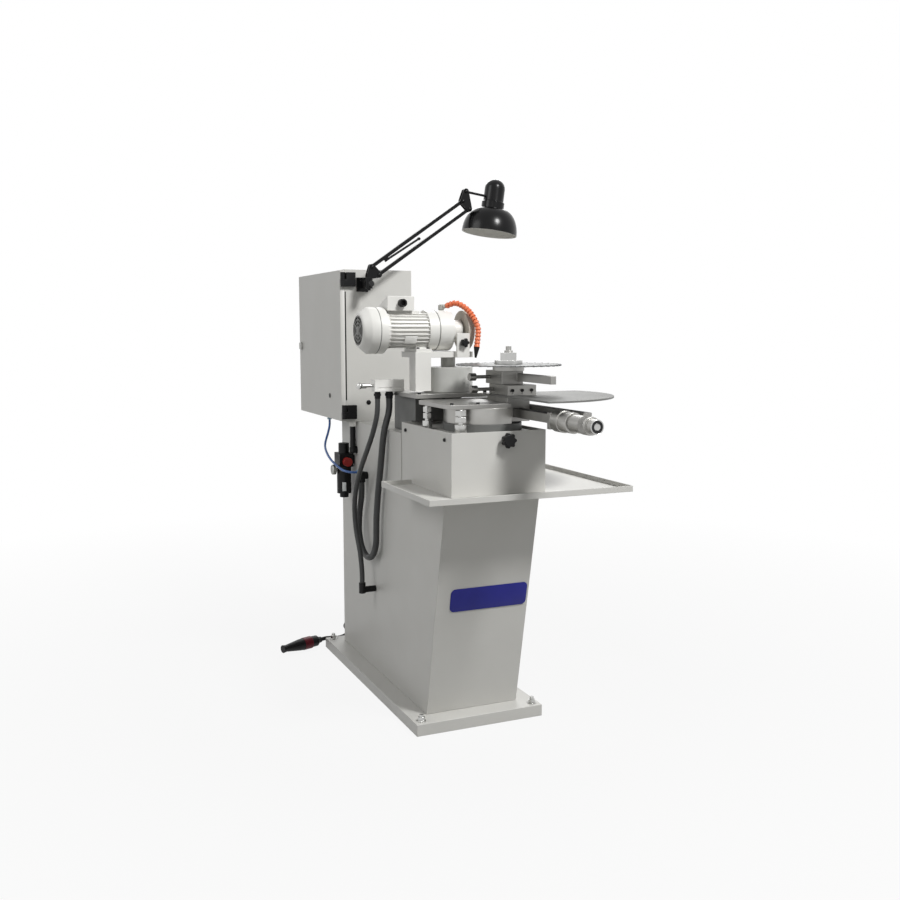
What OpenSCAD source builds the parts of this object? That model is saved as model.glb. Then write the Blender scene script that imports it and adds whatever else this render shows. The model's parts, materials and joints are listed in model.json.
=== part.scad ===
// Circular saw blade sharpener, floor standing. Millimetres.
// Origin at the centre of the base's underside, +Z up, the operator stands at -Y.

/* [Base and column] */
// Width of the base plinth
base_w = 400; // [340:1:460]
// Depth of the base plinth
base_d = 888; // [840:1:960]
// Height of the base plinth
base_h = 35; // [20:1:50]
// Inset of the levelling screws from the plinth's edges
foot_inset = 23; // [18:1:34]
// Radius of a levelling screw
foot_r = 6; // [4:0.5:8]
// Half width of the column
column_half_w = 145; // [130:1:160]
// Sheet thickness of the column
column_wall = 4; // [2:0.5:8]
// Front of the column at the plinth
column_front_y = -381; // [-400:1:-360]
// How far the column's front leans forward at the tray
column_lean = 135; // [100:1:160]
// Back of the column
column_back_y = 390; // [370:1:420]
// Front of the column's tower
tower_front_y = -185; // [-188:1:-160]
// Height of the tray's underside above the floor
tray_z = 690; // [640:1:740]
// Height of the tower above the tray's underside
tower_rise = 144; // [120:1:170]
// Width of the blank name plate
plate_w = 240; // [160:1:270]
// Height of the blank name plate
plate_h = 70; // [40:1:100]

/* [Tray and table box] */
// Left edge of the chip tray
tray_left = -238; // [-270:1:-200]
// Right edge of the chip tray
tray_right = 378; // [300:1:420]
// Front edge of the chip tray
tray_front = -630; // [-680:1:-600]
// Back edge of the tray's left wing
tray_left_back = -270; // [-320:1:-220]
// Back edge of the tray's right wing
tray_right_back = 60; // [0:1:120]
// Height of the tray's rim
tray_rim = 14; // [8:1:30]
// Sheet thickness of the tray and of the table box
sheet = 3; // [2:0.5:5]
// Half width of the table box
box_half_w = 142; // [132:1:150]
// Front of the table box
box_front = -552; // [-580:1:-540]
// Height of the table box
box_h = 174; // [150:1:200]
// Depth of the recess in the box's top
box_recess = 8; // [4:1:14]

/* [Turntable and slide] */
// X of the turntable's axis
table_x = 20; // [10:1:25]
// Y of the turntable's axis
table_y = -400; // [-410:1:-390]
// Radius of the turntable's fixed flange
flange_r = 112; // [95:1:114]
// Height of the fixed flange above the table box's top sheet
flange_h = 22; // [18:1:24]
// Radius of the turntable's spindle
spindle_r = 20; // [14:0.5:26]
// Radius of the turntable
table_r = 110; // [90:1:114]
// Thickness of the turntable
table_h = 44; // [42:1:50]
// Thickness of the bed plate
bed_t = 12; // [8:1:16]
// Running clearance of a shaft in its bore
run = 0.05; // [0.02:0.01:0.1]
// Clearance between sliding or passing faces
gap = 0.3; // [0.2:0.05:0.6]
// X of the slide rail and of the blade's arbor
rail_x = 100; // [96:1:110]
// Width of the slide rail
rail_w = 32; // [28:1:36]
// Height of the slide rail
rail_h = 24; // [20:1:26]
// Front end of the slide rail
rail_front = -680; // [-700:1:-660]
// Back end of the slide rail
rail_back = -262; // [-268:1:-256]
// Radius of the lead screw
screw_r = 5; // [4:0.5:6]
// Radius of the feed sleeve
sleeve_r = 29; // [24:0.5:32]
// Length of the feed sleeve
sleeve_len = 80; // [60:1:90]
// Radius of the feed thimble
thimble_r = 23; // [18:0.5:26]
// Length of the feed thimble
thimble_len = 85; // [70:1:100]

/* [Carriage and blade] */
// Width of the carriage's saddle
saddle_w = 70; // [64:1:80]
// Front of the saddle
saddle_front = -470; // [-480:1:-460]
// Length of the saddle
saddle_len = 130; // [110:1:140]
// Radius of the round guard plate
guard_r = 285; // [240:1:300]
// Thickness of the guard plate
guard_t = 5; // [3:0.5:8]
// Y of the blade's arbor
arbor_y = -405; // [-412:1:-398]
// Height of the lower arbor block
block_h = 29; // [22:1:36]
// Height of the index block
index_h = 38; // [30:1:46]
// Radius of the arbor where it carries the blade
arbor_r = 15; // [8:0.5:18]
// Radius of the saw blade at its tooth tips
blade_r = 150; // [100:1:160]
// Thickness of the saw blade
blade_t = 3.2; // [2:0.1:5]
// Number of teeth on the saw blade
blade_teeth = 36; // [18:1:60]
// Depth of a tooth
tooth_h = 9; // [5:0.5:14]
// Radius of the blade's clamping flanges
clamp_r = 45; // [32:1:60]

/* [Grinding head] */
// X of the turret's axis
turret_x = 28; // [24:1:32]
// Y of the turret's axis
turret_y = -140; // [-144:1:-136]
// Radius of the turret's drum
turret_r = 75; // [60:1:78]
// Height of the turret's drum
turret_h = 74; // [60:1:76]
// Thickness of the head's base plate
head_base_t = 12; // [8:1:16]
// Height of the head support above the tower
support_h = 106; // [96:1:120]
// Radius of the lifting column
lift_r = 22; // [16:0.5:28]
// Height of the head plate's underside above the turret
head_rise = 30; // [24:1:40]
// Thickness of the head plate
head_t = 17; // [12:1:22]
// Radius of the motor's body over its fins
motor_r = 58; // [54:0.5:60]
// Depth of a cooling fin
fin_h = 6; // [3:0.5:9]
// Height of the motor's axis above its foot
motor_axis_h = 63; // [62:0.5:66]
// Radius of the fan cover
fan_cover_r = 68; // [60:0.5:72]
// Radius of the motor's shaft
shaft_r = 9.5; // [7:0.5:12]
// Radius of the wheel guard
guard_drum_r = 61; // [54:0.5:62]
// Radius of the grinding wheel
wheel_r = 60; // [45:0.5:61]
// Thickness of the grinding wheel
wheel_t = 20; // [10:1:25]
// Outer radius of the coolant hose over its ribs
hose_r = 9; // [7:0.5:11]
// Bore radius of the coolant hose
hose_bore = 4; // [2:0.5:5]
// Number of ribs on the coolant hose
hose_ribs = 17; // [10:1:24]

/* [Cabinet] */
// Left face of the cabinet's shell
cabinet_x = -184; // [-190:1:-178]
// Width of the cabinet's shell
cabinet_w = 234; // [200:1:260]
// Front of the cabinet
cabinet_y = 219; // [210:1:230]
// Depth of the cabinet
cabinet_d = 500; // [420:1:560]
// Height of the cabinet
cabinet_h = 500; // [420:1:560]
// Sheet thickness of the cabinet
cabinet_wall = 3; // [2:0.5:5]
// Thickness of the cabinet's door
door_t = 16; // [12:1:20]
// Radius of a door hinge's pin
hinge_pin_r = 4; // [3:0.5:6]
// Height of a hinge block
hinge_h = 46; // [36:1:60]

/* [Lamp] */
// Length of the lamp's arm between pivots
lamp_len = 390; // [340:1:420]
// Angle of the lamp's arm above the horizontal
lamp_angle = 34.8; // [20:0.1:45]
// Width of the arm's bars
lamp_bar = 11; // [8:0.5:14]
// Radius of the lamp's pivot pins
lamp_pin_r = 3; // [2:0.25:3.5]
// Radius of the lamp shade's rim
shade_r = 93; // [70:1:100]
// Height of the lamp shade
shade_h = 82; // [70:1:100]
// Wall of the lamp shade
shade_t = 2; // [1.5:0.5:4]
// Lean of the lamp's head
shade_lean = 8; // [0:0.5:15]

/* [Air and leads] */
// Length of the air cylinder
cyl_len = 94; // [80:1:100]
// Width and height of the air cylinder
cyl_w = 36; // [30:1:40]
// Radius of the piston rod
rod_r = 5; // [4:0.5:7]
// Outer diameter of the head's hose
head_hose_d = 20; // [14:1:20]
// Outer diameter of the motor's hose
motor_hose_d = 16; // [10:1:16]
// Outer diameter of the air tube
air_tube_d = 8; // [6:1:8]
// Outer diameter of the mains lead
mains_d = 14; // [10:1:14]

/* [Hidden] */
$fn = 64;
eps = 0.5;

paint = "#d5d3cc";
white_paint = "#e9e8e4";
steel = "#b9bab8";
dark = "#3a3c3b";
black = "#17181a";

// Heights of the stack from the floor up
tower_top = tray_z + tower_rise;
tray_floor = tray_z + sheet;
box_top = tray_floor + box_h;
box_sheet_top = box_top - box_recess;
flange_top = box_sheet_top + flange_h;
table_low = flange_top + gap;
table_top = table_low + table_h;
rail_top = table_top - 5;
rail_low = rail_top - rail_h;
screw_z = rail_low + 8;
saddle_low = rail_low - gap - 12;
saddle_top = rail_top + 31;
block_low = saddle_top + guard_t;
index_low = block_low + block_h;
index_top = index_low + index_h;
blade_low = index_top + gap + 15;
blade_top = blade_low + blade_t;
head_base_low = tower_top + support_h;
turret_low = head_base_low + head_base_t + gap;
turret_top = turret_low + turret_h;
head_low = turret_top + head_rise;
head_top = head_low + head_t;
motor_z = head_top + motor_axis_h;

function lean_y(z) = column_front_y - column_lean * (z - base_h) / (tray_z - base_h);
function unit(v) = v / norm(v);

// A box from its low corner to its high corner
module slab(a, b) {
    translate(a) cube(b - a);
}

// A round bar between two points on a line along X, Y or Z
module bar_x(x0, x1, y, z, r) {
    translate([x0, y, z]) rotate([0, 90, 0]) cylinder(h = x1 - x0, r = r);
}
module bar_y(y0, y1, x, z, r) {
    translate([x, y1, z]) rotate([90, 0, 0]) cylinder(h = y1 - y0, r = r);
}
module bar_z(z0, z1, x, y, r) {
    translate([x, y, z0]) cylinder(h = z1 - z0, r = r);
}

// An outline in Y and Z, pushed along X from x0 to x1
module wall_x(x0, x1, outline) {
    translate([x0, 0, 0]) rotate([90, 0, 90]) linear_extrude(x1 - x0) polygon(outline);
}

// Base and column
foot_x = base_w / 2 - foot_inset;
foot_y = base_d / 2 - foot_inset;
washer_t = 2.5;
nut_h = 10;

module each_foot() {
    for (sx = [-1, 1], sy = [-1, 1]) translate([sx * foot_x, sy * foot_y, 0]) children();
}

module base_plate() {
    color(paint) difference() {
        slab([-base_w / 2, -base_d / 2, 0], [base_w / 2, base_d / 2, base_h]);
        each_foot() translate([0, 0, -eps]) cylinder(h = base_h + 2 * eps, r = foot_r + gap);
    }
}

module levelling_screws() {
    color(steel) each_foot() union() {
        translate([0, 0, 2]) cylinder(h = base_h + 18, r = foot_r);
        translate([0, 0, base_h]) cylinder(h = washer_t, r = foot_r * 2.2);
        translate([0, 0, base_h + washer_t]) cylinder(h = nut_h, r = foot_r * 1.8, $fn = 6);
    }
}

function column_outline(w, low) = let (slant = w * norm([column_lean, tray_z - base_h]) / (tray_z - base_h)) [
    [lean_y(low) + slant, low],
    [column_back_y - w, low],
    [column_back_y - w, tower_top - w],
    [tower_front_y + w, tower_top - w],
    [tower_front_y + w, tray_z - w],
    [lean_y(tray_z - w) + slant, tray_z - w]
];

module column() {
    inner = column_half_w - column_wall;
    color(paint) difference() {
        wall_x(-column_half_w, column_half_w, column_outline(0, base_h));
        wall_x(-inner, inner, column_outline(column_wall, base_h - eps));
        bar_y(column_back_y - 2 * column_wall, column_back_y + eps, mains_x, mains_z, gland_r);
    }
}

plate_mid_z = 384;
plate_t = 2;

module name_plate() {
    lean = atan2(column_lean, tray_z - base_h);
    color("#23307d") translate([18, lean_y(plate_mid_z), plate_mid_z]) rotate([lean, 0, 0])
        slab([-plate_w / 2, -plate_t, -plate_h / 2], [plate_w / 2, 0, plate_h / 2]);
}

// Tray and table box
tray_outline = [
    [tray_left, tray_front], [tray_right, tray_front], [tray_right, tray_right_back],
    [column_half_w, tray_right_back], [column_half_w, tower_front_y], [-column_half_w, tower_front_y],
    [-column_half_w, tray_left_back], [tray_left, tray_left_back]
];

module chip_tray() {
    color(paint) translate([0, 0, tray_z]) {
        linear_extrude(sheet) polygon(tray_outline);
        translate([0, 0, sheet]) {
            slab([tray_left, tray_front, 0], [tray_right, tray_front + sheet, tray_rim]);
            slab([tray_left, tray_front, 0], [tray_left + sheet, tray_left_back, tray_rim]);
            slab([tray_right - sheet, tray_front, 0], [tray_right, tray_right_back, tray_rim]);
            slab([column_half_w, tray_right_back - sheet, 0], [tray_right, tray_right_back, tray_rim]);
            slab([tray_left, tray_left_back - sheet, 0], [-column_half_w, tray_left_back, tray_rim]);
        }
    }
}

box_back = tower_front_y;
boss_r = spindle_r + 14;
boss_low = box_sheet_top - 69;
knob_screw_r = 6;
knob_z = box_top - 24;
knob_r = 21;

module table_box() {
    inner = box_half_w - sheet;
    color(paint) difference() {
        slab([-box_half_w, box_front, tray_floor], [box_half_w, box_back, box_top]);
        slab([-inner, box_front + sheet, tray_floor - eps], [inner, box_back - sheet, box_sheet_top - sheet]);
        slab([-inner, box_front + sheet, box_sheet_top], [inner, box_back - sheet, box_top + eps]);
        bar_z(boss_low, box_top, table_x, table_y, boss_r + gap);
        bar_y(box_front - eps, box_front + 2 * sheet, table_x, knob_z, knob_screw_r + gap);
    }
}

module turntable_base() {
    color(dark) difference() {
        union() {
            bar_z(box_sheet_top, flange_top, table_x, table_y, flange_r);
            bar_z(boss_low, box_sheet_top + eps, table_x, table_y, boss_r);
        }
        bar_z(boss_low - eps, flange_top + eps, table_x, table_y, spindle_r + run);
        bar_y(table_y - boss_r - eps, table_y, table_x, knob_z, knob_screw_r + run);
    }
}

// Studs with chrome nuts that steady the bed plate: x, y and nut radius
studs = [[-86, -489, 17], [-119, -330, 13]];

module jack_studs() {
    color("#e6e6e6") for (s = studs) union() {
        bar_z(box_sheet_top, box_sheet_top + 24, s[0], s[1], s[2] + 1);
        bar_z(box_sheet_top + 20, table_top - gap, s[0], s[1], 7);
        for (i = [0, 1])
            translate([s[0], s[1], table_top - 36 + i * 18]) cylinder(h = 15, r = s[2], $fn = 6);
    }
}

module turntable_knob() {
    lobes = 7;
    tip = table_y - spindle_r - gap;
    color(black) union() {
        bar_y(box_front - 8, tip, table_x, knob_z, knob_screw_r);
        bar_y(box_front - 26, box_front - 6, table_x, knob_z, knob_r - 5);
        for (i = [0 : lobes - 1])
            bar_y(box_front - 24, box_front - 10, table_x + (knob_r - 5) * cos(i * 360 / lobes),
                knob_z + (knob_r - 5) * sin(i * 360 / lobes), 5);
        bar_y(box_front - 7, box_front - gap, table_x, knob_z, 9);
    }
}

// Turntable and slide
saddle_left = rail_x - saddle_w / 2;
table_cut_x = saddle_left - 3;
bed_left = -125;
bed_front = -500;
bed_back = -250;
bed_corner = 30;
tail_front = rail_back - 13;
tail_back = rail_back + 26;
tail_right = rail_x + rail_w / 2 + 4;

module turntable() {
    color(steel) union() {
        difference() {
            bar_z(table_low, table_top, table_x, table_y, table_r);
            slab([table_cut_x, table_y - table_r, table_low - eps],
                [table_x + table_r + 1, table_y + table_r, table_top + eps]);
        }
        bar_z(boss_low, table_low + eps, table_x, table_y, spindle_r);
    }
}

module bed_plate() {
    color("#cfd0cd") translate([0, 0, table_top]) linear_extrude(bed_t) polygon([
        [bed_left, bed_front], [table_cut_x, bed_front], [table_cut_x, tail_front], [tail_right, tail_front],
        [tail_right, tail_back], [40, tail_back], [0, bed_back], [bed_left + bed_corner, bed_back],
        [bed_left, bed_back - bed_corner]
    ]);
}

front_block_t = 15;
front_block_half = 26;
rear_block_t = 22;
groove_half = 10;
groove_h = 16;
side_bar_left = rail_x + 38;
side_bar_right = rail_x + 62;
side_bar_low = rail_low + 10;
side_bar_top = rail_top + 8;
side_bar_front = rail_front - 77;
side_bar_back = -330;

module slide_rail() {
    color("#9c9d9b") difference() {
        union() {
            slab([rail_x - rail_w / 2, rail_front, rail_low], [rail_x + rail_w / 2, rail_back + eps, rail_top]);
            slab([rail_x - rail_w / 2, rail_back, rail_low],
                [rail_x + rail_w / 2, rail_back + rear_block_t, table_top]);
            slab([rail_x - front_block_half, rail_front - front_block_t, screw_z - 22],
                [rail_x + front_block_half, rail_front + eps, screw_z + 22]);
            slab([rail_x + front_block_half - eps, rail_front - front_block_t, side_bar_low],
                [side_bar_right, rail_front, side_bar_top - 2]);
            slab([side_bar_left, side_bar_front, side_bar_low], [side_bar_right, side_bar_back, side_bar_top]);
        }
        slab([rail_x - groove_half, rail_front + 2 * eps, rail_low - eps],
            [rail_x + groove_half, rail_back, rail_low + groove_h]);
        bar_y(rail_front - front_block_t - eps, rail_back + rear_block_t - 8, rail_x, screw_z, screw_r + run);
    }
}

sleeve_front = rail_front - front_block_t - sleeve_len;
thimble_front = sleeve_front - gap - thimble_len;
cap_len = 23;
cap_r = thimble_r - 4;

module screw_sleeve() {
    color("#c9cac8") difference() {
        union() {
            bar_y(sleeve_front, rail_front - front_block_t, rail_x, screw_z, sleeve_r - 2);
            bar_y(sleeve_front + sleeve_len * 0.55, rail_front - front_block_t, rail_x, screw_z, sleeve_r);
        }
        bar_y(sleeve_front - eps, rail_front - front_block_t + eps, rail_x, screw_z, screw_r + run);
    }
}

module lead_screw() {
    color(steel) bar_y(thimble_front - 2, rail_back + rear_block_t - 10, rail_x, screw_z, screw_r);
}

module thimble() {
    color("#c4c5c3") difference() {
        union() {
            bar_y(thimble_front, thimble_front + thimble_len, rail_x, screw_z, thimble_r);
            bar_y(thimble_front - cap_len, thimble_front + eps, rail_x, screw_z, cap_r);
        }
        bar_y(thimble_front - 2, thimble_front + thimble_len + eps, rail_x, screw_z, screw_r + 0.01);
    }
}

// Carriage and blade
saddle_back = saddle_front + saddle_len;
tongue_half = groove_half - 1;
guard_centre = [rail_x, arbor_y - 25];
guard_cut_y = saddle_back + 10;
block_right = 55;
block_front = saddle_front;
block_back = arbor_y + 55;
index_front = arbor_y - 25;
index_back = arbor_y + 80;
index_bar_len = 195;

module arbor_bore(low, high) {
    bar_z(low - eps, high + eps, rail_x, arbor_y, arbor_r + run);
}

module saddle() {
    channel = rail_w / 2 + gap;
    color("#a9aaa8") difference() {
        slab([saddle_left, saddle_front, saddle_low], [rail_x + saddle_w / 2, saddle_back, saddle_top]);
        difference() {
            slab([rail_x - channel, saddle_front - eps, rail_low - gap],
                [rail_x + channel, saddle_back + eps, rail_top + gap]);
            slab([rail_x - tongue_half, saddle_front - 2 * eps, saddle_low],
                [rail_x + tongue_half, saddle_back + 2 * eps, rail_low + groove_h - 1]);
        }
        bar_y(saddle_front - eps, saddle_back + eps, rail_x, screw_z, screw_r + run);
    }
}

module guard_plate() {
    color("#a8a9a6") intersection() {
        bar_z(saddle_top, saddle_top + guard_t, guard_centre.x, guard_centre.y, guard_r);
        slab([saddle_left - 5, guard_centre.y - guard_r - 1, saddle_top - eps],
            [rail_x + guard_r + 1, guard_cut_y, saddle_top + guard_t + eps]);
    }
}

module arbor_block() {
    color("#c3c4c1") difference() {
        slab([saddle_left + 1, block_front, block_low], [rail_x + block_right, block_back, index_low]);
        bar_z(block_low + 2, index_low + eps, rail_x, arbor_y, arbor_r + run);
        for (i = [0 : 2])
            bar_y(block_front - eps, block_front + 3, saddle_left + 14 + i * 30, block_low + 8, 3.5);
    }
}

// Stop rods on the blocks' left faces: y, z and how far they reach
stop_rods = [[arbor_y + 33, block_low + 14, 58], [arbor_y + 58, index_low + 19, 52]];

module index_block() {
    color("#8d8e8c") {
        difference() {
            slab([saddle_left + 2, index_front, index_low], [rail_x + 34, index_back, index_top]);
            arbor_bore(index_low, index_top);
        }
        difference() {
            slab([rail_x + 15, index_front - index_bar_len, index_low + 9],
                [rail_x + 31, index_front, index_top - 7]);
            slab([rail_x + 22, index_front - index_bar_len + 12, index_low + 8],
                [rail_x + 24, index_front - 30, index_top - 6]);
        }
        for (i = [0, 1]) {
            left = saddle_left + 1 + i;
            reach = stop_rods[i][2];
            bar_x(left - reach, left, stop_rods[i][0], stop_rods[i][1], 5);
            bar_x(left - reach - 12, left - reach + 8, stop_rods[i][0], stop_rods[i][1], 11);
        }
    }
}

stub_r = arbor_r - 3;
clamp_nut_r = 26;
clamp_nut_h = 22;
clamp_flange_h = 11;

module arbor() {
    nut_top = blade_top + clamp_flange_h + clamp_nut_h;
    color(steel) union() {
        bar_z(block_low + 2 + gap, index_top + gap + 1, rail_x, arbor_y, arbor_r);
        bar_z(index_top + gap, blade_low, rail_x, arbor_y, clamp_r);
        bar_z(blade_low - eps, blade_top - gap, rail_x, arbor_y, arbor_r);
        bar_z(blade_top - 1, nut_top + 6, rail_x, arbor_y, stub_r);
        bar_z(nut_top + 5, nut_top + 18, rail_x, arbor_y, stub_r - 4);
    }
}

function tooth(i) = let (step = 360 / blade_teeth, root = blade_r - tooth_h) [
    root * [cos(i * step), sin(i * step)],
    blade_r * [cos((i + 0.12) * step), sin((i + 0.12) * step)],
    (blade_r - 1.5) * [cos((i + 0.42) * step), sin((i + 0.42) * step)],
    root * [cos((i + 0.7) * step), sin((i + 0.7) * step)]
];

module saw_blade() {
    color("#9b9c9c") translate([rail_x, arbor_y, blade_low]) linear_extrude(blade_t) difference() {
        polygon([for (i = [0 : blade_teeth - 1]) each tooth(i)]);
        circle(r = arbor_r + run);
        for (a = [0 : 60 : 300]) rotate(a + 20) translate([blade_r * 0.62, 0]) circle(r = 6);
    }
}

module blade_clamp() {
    color("#d7d8d6") {
        difference() {
            bar_z(blade_top, blade_top + clamp_flange_h, rail_x, arbor_y, clamp_r - 5);
            bar_z(blade_top - eps, blade_top + clamp_flange_h + eps, rail_x, arbor_y, stub_r + run);
        }
        difference() {
            translate([rail_x, arbor_y, blade_top + clamp_flange_h])
                cylinder(h = clamp_nut_h, r = clamp_nut_r, $fn = 6);
            bar_z(blade_top, blade_top + 60, rail_x, arbor_y, stub_r + run);
        }
    }
}

// Grinding head
support_left = -110;
support_right = 40;
support_front = -215;
support_back = -40;
pivot_r = 25;
head_base_left = -125;
head_base_right = 115;
head_base_front = -262;

module head_support() {
    color(dark) difference() {
        wall_x(support_left, support_right, [
            [tower_front_y, tower_top], [support_back, tower_top], [support_back, head_base_low],
            [support_front, head_base_low], [support_front, box_top + 3], [tower_front_y, box_top + 3]
        ]);
        bar_z(head_base_low - 20, head_base_low + eps, turret_x, turret_y, pivot_r + 2);
    }
}

module head_base() {
    color("#c8c9c6") difference() {
        slab([head_base_left, head_base_front, head_base_low],
            [head_base_right, support_back, head_base_low + head_base_t]);
        bar_z(head_base_low - eps, turret_low, turret_x, turret_y, pivot_r + run);
    }
}

module turret() {
    color("#c9cac8") union() {
        bar_z(turret_low, turret_top, turret_x, turret_y, turret_r);
        bar_z(head_base_low, turret_low + eps, turret_x, turret_y, pivot_r);
        bar_z(turret_top - eps, head_top - 3, turret_x, turret_y, lift_r);
    }
}

head_left = -103;
head_right = 84;
head_front = -200;
head_back = -85;
post_w = 50;
post_low = turret_low + 5;
motor_y = -145;
bracket_left = 25;
bracket_right = 66;
bracket_front = motor_y - guard_drum_r - 10;
bracket_t = 8;
bracket_top = head_top + 55;
guard_knob_x = 46;
guard_knob_z = head_top + 27;
guard_knob_screw = 4;

module head_plate() {
    color(white_paint) difference() {
        union() {
            slab([head_left, head_front, head_low], [head_right, head_back, head_top]);
            slab([head_left, head_front, post_low], [head_left + post_w, head_front + post_w, head_low + eps]);
            slab([bracket_left, bracket_front, head_low], [bracket_right, head_front + eps, head_top]);
            slab([bracket_left, bracket_front, head_low],
                [bracket_right, bracket_front + bracket_t, bracket_top]);
        }
        bar_z(head_low - eps, head_top + eps, turret_x, turret_y, lift_r + run);
        bar_y(bracket_front - eps, bracket_front + bracket_t + eps, guard_knob_x, guard_knob_z,
            guard_knob_screw + run);
    }
}

module guard_knob() {
    lobes = 5;
    face = bracket_front - gap;
    color(black) union() {
        bar_y(face - 4, bracket_front + bracket_t - 1, guard_knob_x, guard_knob_z, guard_knob_screw);
        bar_y(face - 16, face, guard_knob_x, guard_knob_z, 9);
        for (i = [0 : lobes - 1])
            bar_y(face - 14, face - 4, guard_knob_x + 9 * cos(i * 72), guard_knob_z + 9 * sin(i * 72), 4.5);
    }
}

motor_left = -188;
motor_right = -48;
shield_right = -22;
rotor_r = motor_r - fin_h - 12;
foot_half = 50;
foot_left = head_left + 5;
web_half = 34;

// Cooling fins all round the motor, left out where the foot and the terminal box sit
fin_angles = [for (a = [-60 : 12 : 60]) for (side = [0, 180]) a + side];

module motor_body() {
    core = motor_r - fin_h;
    color(white_paint) difference() {
        union() {
            bar_x(motor_left, motor_right + eps, motor_y, motor_z, core);
            for (a = fin_angles)
                translate([motor_left + 4, motor_y, motor_z]) rotate([a, 0, 0])
                    slab([0, core - 2, -1.5], [motor_right - motor_left - 8, motor_r, 1.5]);
            bar_x(motor_left, motor_left + 10, motor_y, motor_z, motor_r);
            bar_x(motor_right - 8, shield_right, motor_y, motor_z, motor_r + 2);
            slab([foot_left, motor_y - foot_half, head_top], [motor_right, motor_y + foot_half, head_top + 9]);
            slab([foot_left + 5, motor_y - web_half, head_top],
                [motor_right - 10, motor_y + web_half, motor_z - 20]);
            slab([motor_left + 10, motor_y - 26, motor_z + core - 14],
                [motor_right - 30, motor_y + 26, motor_z + motor_r]);
        }
        bar_x(motor_left + 14, motor_right - 6, motor_y, motor_z, rotor_r + 1);
        bar_x(motor_left - eps, shield_right + eps, motor_y, motor_z, shaft_r + run);
    }
}

fan_cover_left = -262;
fan_wall = 2;
grille_r = 44;

module fan_cover() {
    color(white_paint) difference() {
        translate([fan_cover_left, motor_y, motor_z]) rotate([0, 90, 0]) rotate_extrude() polygon([
            [0, 0], [grille_r, 0], [grille_r + 6, 3], [fan_cover_r, 26],
            [fan_cover_r, motor_left - fan_cover_left], [fan_cover_r - fan_wall, motor_left - fan_cover_left],
            [fan_cover_r - fan_wall, 27], [grille_r + 4, 3 + fan_wall], [0, 3 + fan_wall]
        ]);
        for (r = [14 : 10 : 34])
            translate([fan_cover_left - eps, motor_y, motor_z]) rotate([0, 90, 0]) difference() {
                cylinder(h = 8, r = r + 6);
                translate([0, 0, -eps]) cylinder(h = 9, r = r);
                for (a = [0, 60, 120]) rotate(a) translate([-60, -3, -eps]) cube([120, 6, 9]);
            }
    }
    color(white_paint) difference() {
        bar_x(motor_left - 12, motor_left, motor_y, motor_z, fan_cover_r - fan_wall);
        bar_x(motor_left - 13, motor_left + eps, motor_y, motor_z, motor_r - fin_h - 6);
    }
}

module motor_rotor() {
    fan_x = motor_left - 48;
    color(steel) {
        union() {
            bar_x(fan_x - 4, wheel_left + wheel_t + 10, motor_y, motor_z, shaft_r);
            bar_x(motor_left + 18, motor_right - 10, motor_y, motor_z, rotor_r);
        }
    }
    color(dark) difference() {
        union() {
            bar_x(fan_x, fan_x + 14, motor_y, motor_z, 16);
            for (a = [0 : 45 : 315])
                translate([fan_x, motor_y, motor_z]) rotate([a, 0, 0])
                    slab([0, 12, -1.5], [26, fan_cover_r - 12, 1.5]);
        }
        bar_x(fan_x - eps, fan_x + 30, motor_y, motor_z, shaft_r + run);
    }
}

// Terminal box: an outline in Y and Z, tall at the front, its lid sloping down to the back
terminal_left = motor_left + 4;
terminal_right = terminal_left + 84;

module terminal_box() {
    low = motor_z + motor_r;
    color(white_paint) wall_x(terminal_left, terminal_right, [
        [motor_y - 40, low], [motor_y + 34, low], [motor_y + 34, low + 14], [motor_y - 34, low + 42],
        [motor_y - 40, low + 42]
    ]);
    color(dark) difference() {
        bar_y(motor_y - 56, motor_y - 40, (terminal_left + terminal_right) / 2 + 2, low + 22, 12);
        bar_y(motor_y - 57, motor_y - 44, (terminal_left + terminal_right) / 2 + 2, low + 22, 7);
    }
}

guard_right = 24;
guard_wall = 4;
nose_r = 32;
nose_right = 62;
wheel_left = 68;

module wheel_guard() {
    color(white_paint) difference() {
        union() {
            bar_x(shield_right, guard_right, motor_y, motor_z, guard_drum_r);
            bar_x(guard_right - eps, nose_right, motor_y, motor_z, nose_r);
        }
        bar_x(shield_right - eps, guard_right - guard_wall, motor_y, motor_z, guard_drum_r - guard_wall);
        bar_x(shield_right - eps, nose_right + eps, motor_y, motor_z, shaft_r + 4);
        bar_z(motor_z, motor_z + guard_drum_r + 1, fitting.x, fitting.y, fitting_r);
    }
}

module grinding_wheel() {
    color("#b8b4ac") difference() {
        bar_x(wheel_left, wheel_left + wheel_t, motor_y, motor_z, wheel_r);
        bar_x(wheel_left - eps, wheel_left + wheel_t + eps, motor_y, motor_z, shaft_r + run);
    }
    color(steel) difference() {
        union() {
            bar_x(wheel_left + wheel_t, wheel_left + wheel_t + 4, motor_y, motor_z, 26);
            translate([wheel_left + wheel_t + 4, motor_y, motor_z]) rotate([0, 90, 0])
                cylinder(h = 11, r = 15, $fn = 6);
        }
        bar_x(wheel_left + wheel_t - eps, wheel_left + wheel_t + 16, motor_y, motor_z, shaft_r + run);
    }
}

// A smooth curve through chosen points, read at u from 0 to 1
function spline(a, b, c, d, t) = 0.5 * (2 * b + (c - a) * t + (2 * a - 5 * b + 4 * c - d) * t * t
    + (3 * b - a - 3 * c + d) * t * t * t);
function along(pts, u) = let (n = len(pts) - 1, i = min(floor(u * n), n - 1), t = u * n - i)
    spline(pts[max(i - 1, 0)], pts[i], pts[i + 1], pts[min(i + 2, n)], t);
function smooth(pts, count) = [for (i = [0 : count]) along(pts, i / count)];
function halved(pts) = smooth(pts, 2 * (len(pts) - 1));

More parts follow.
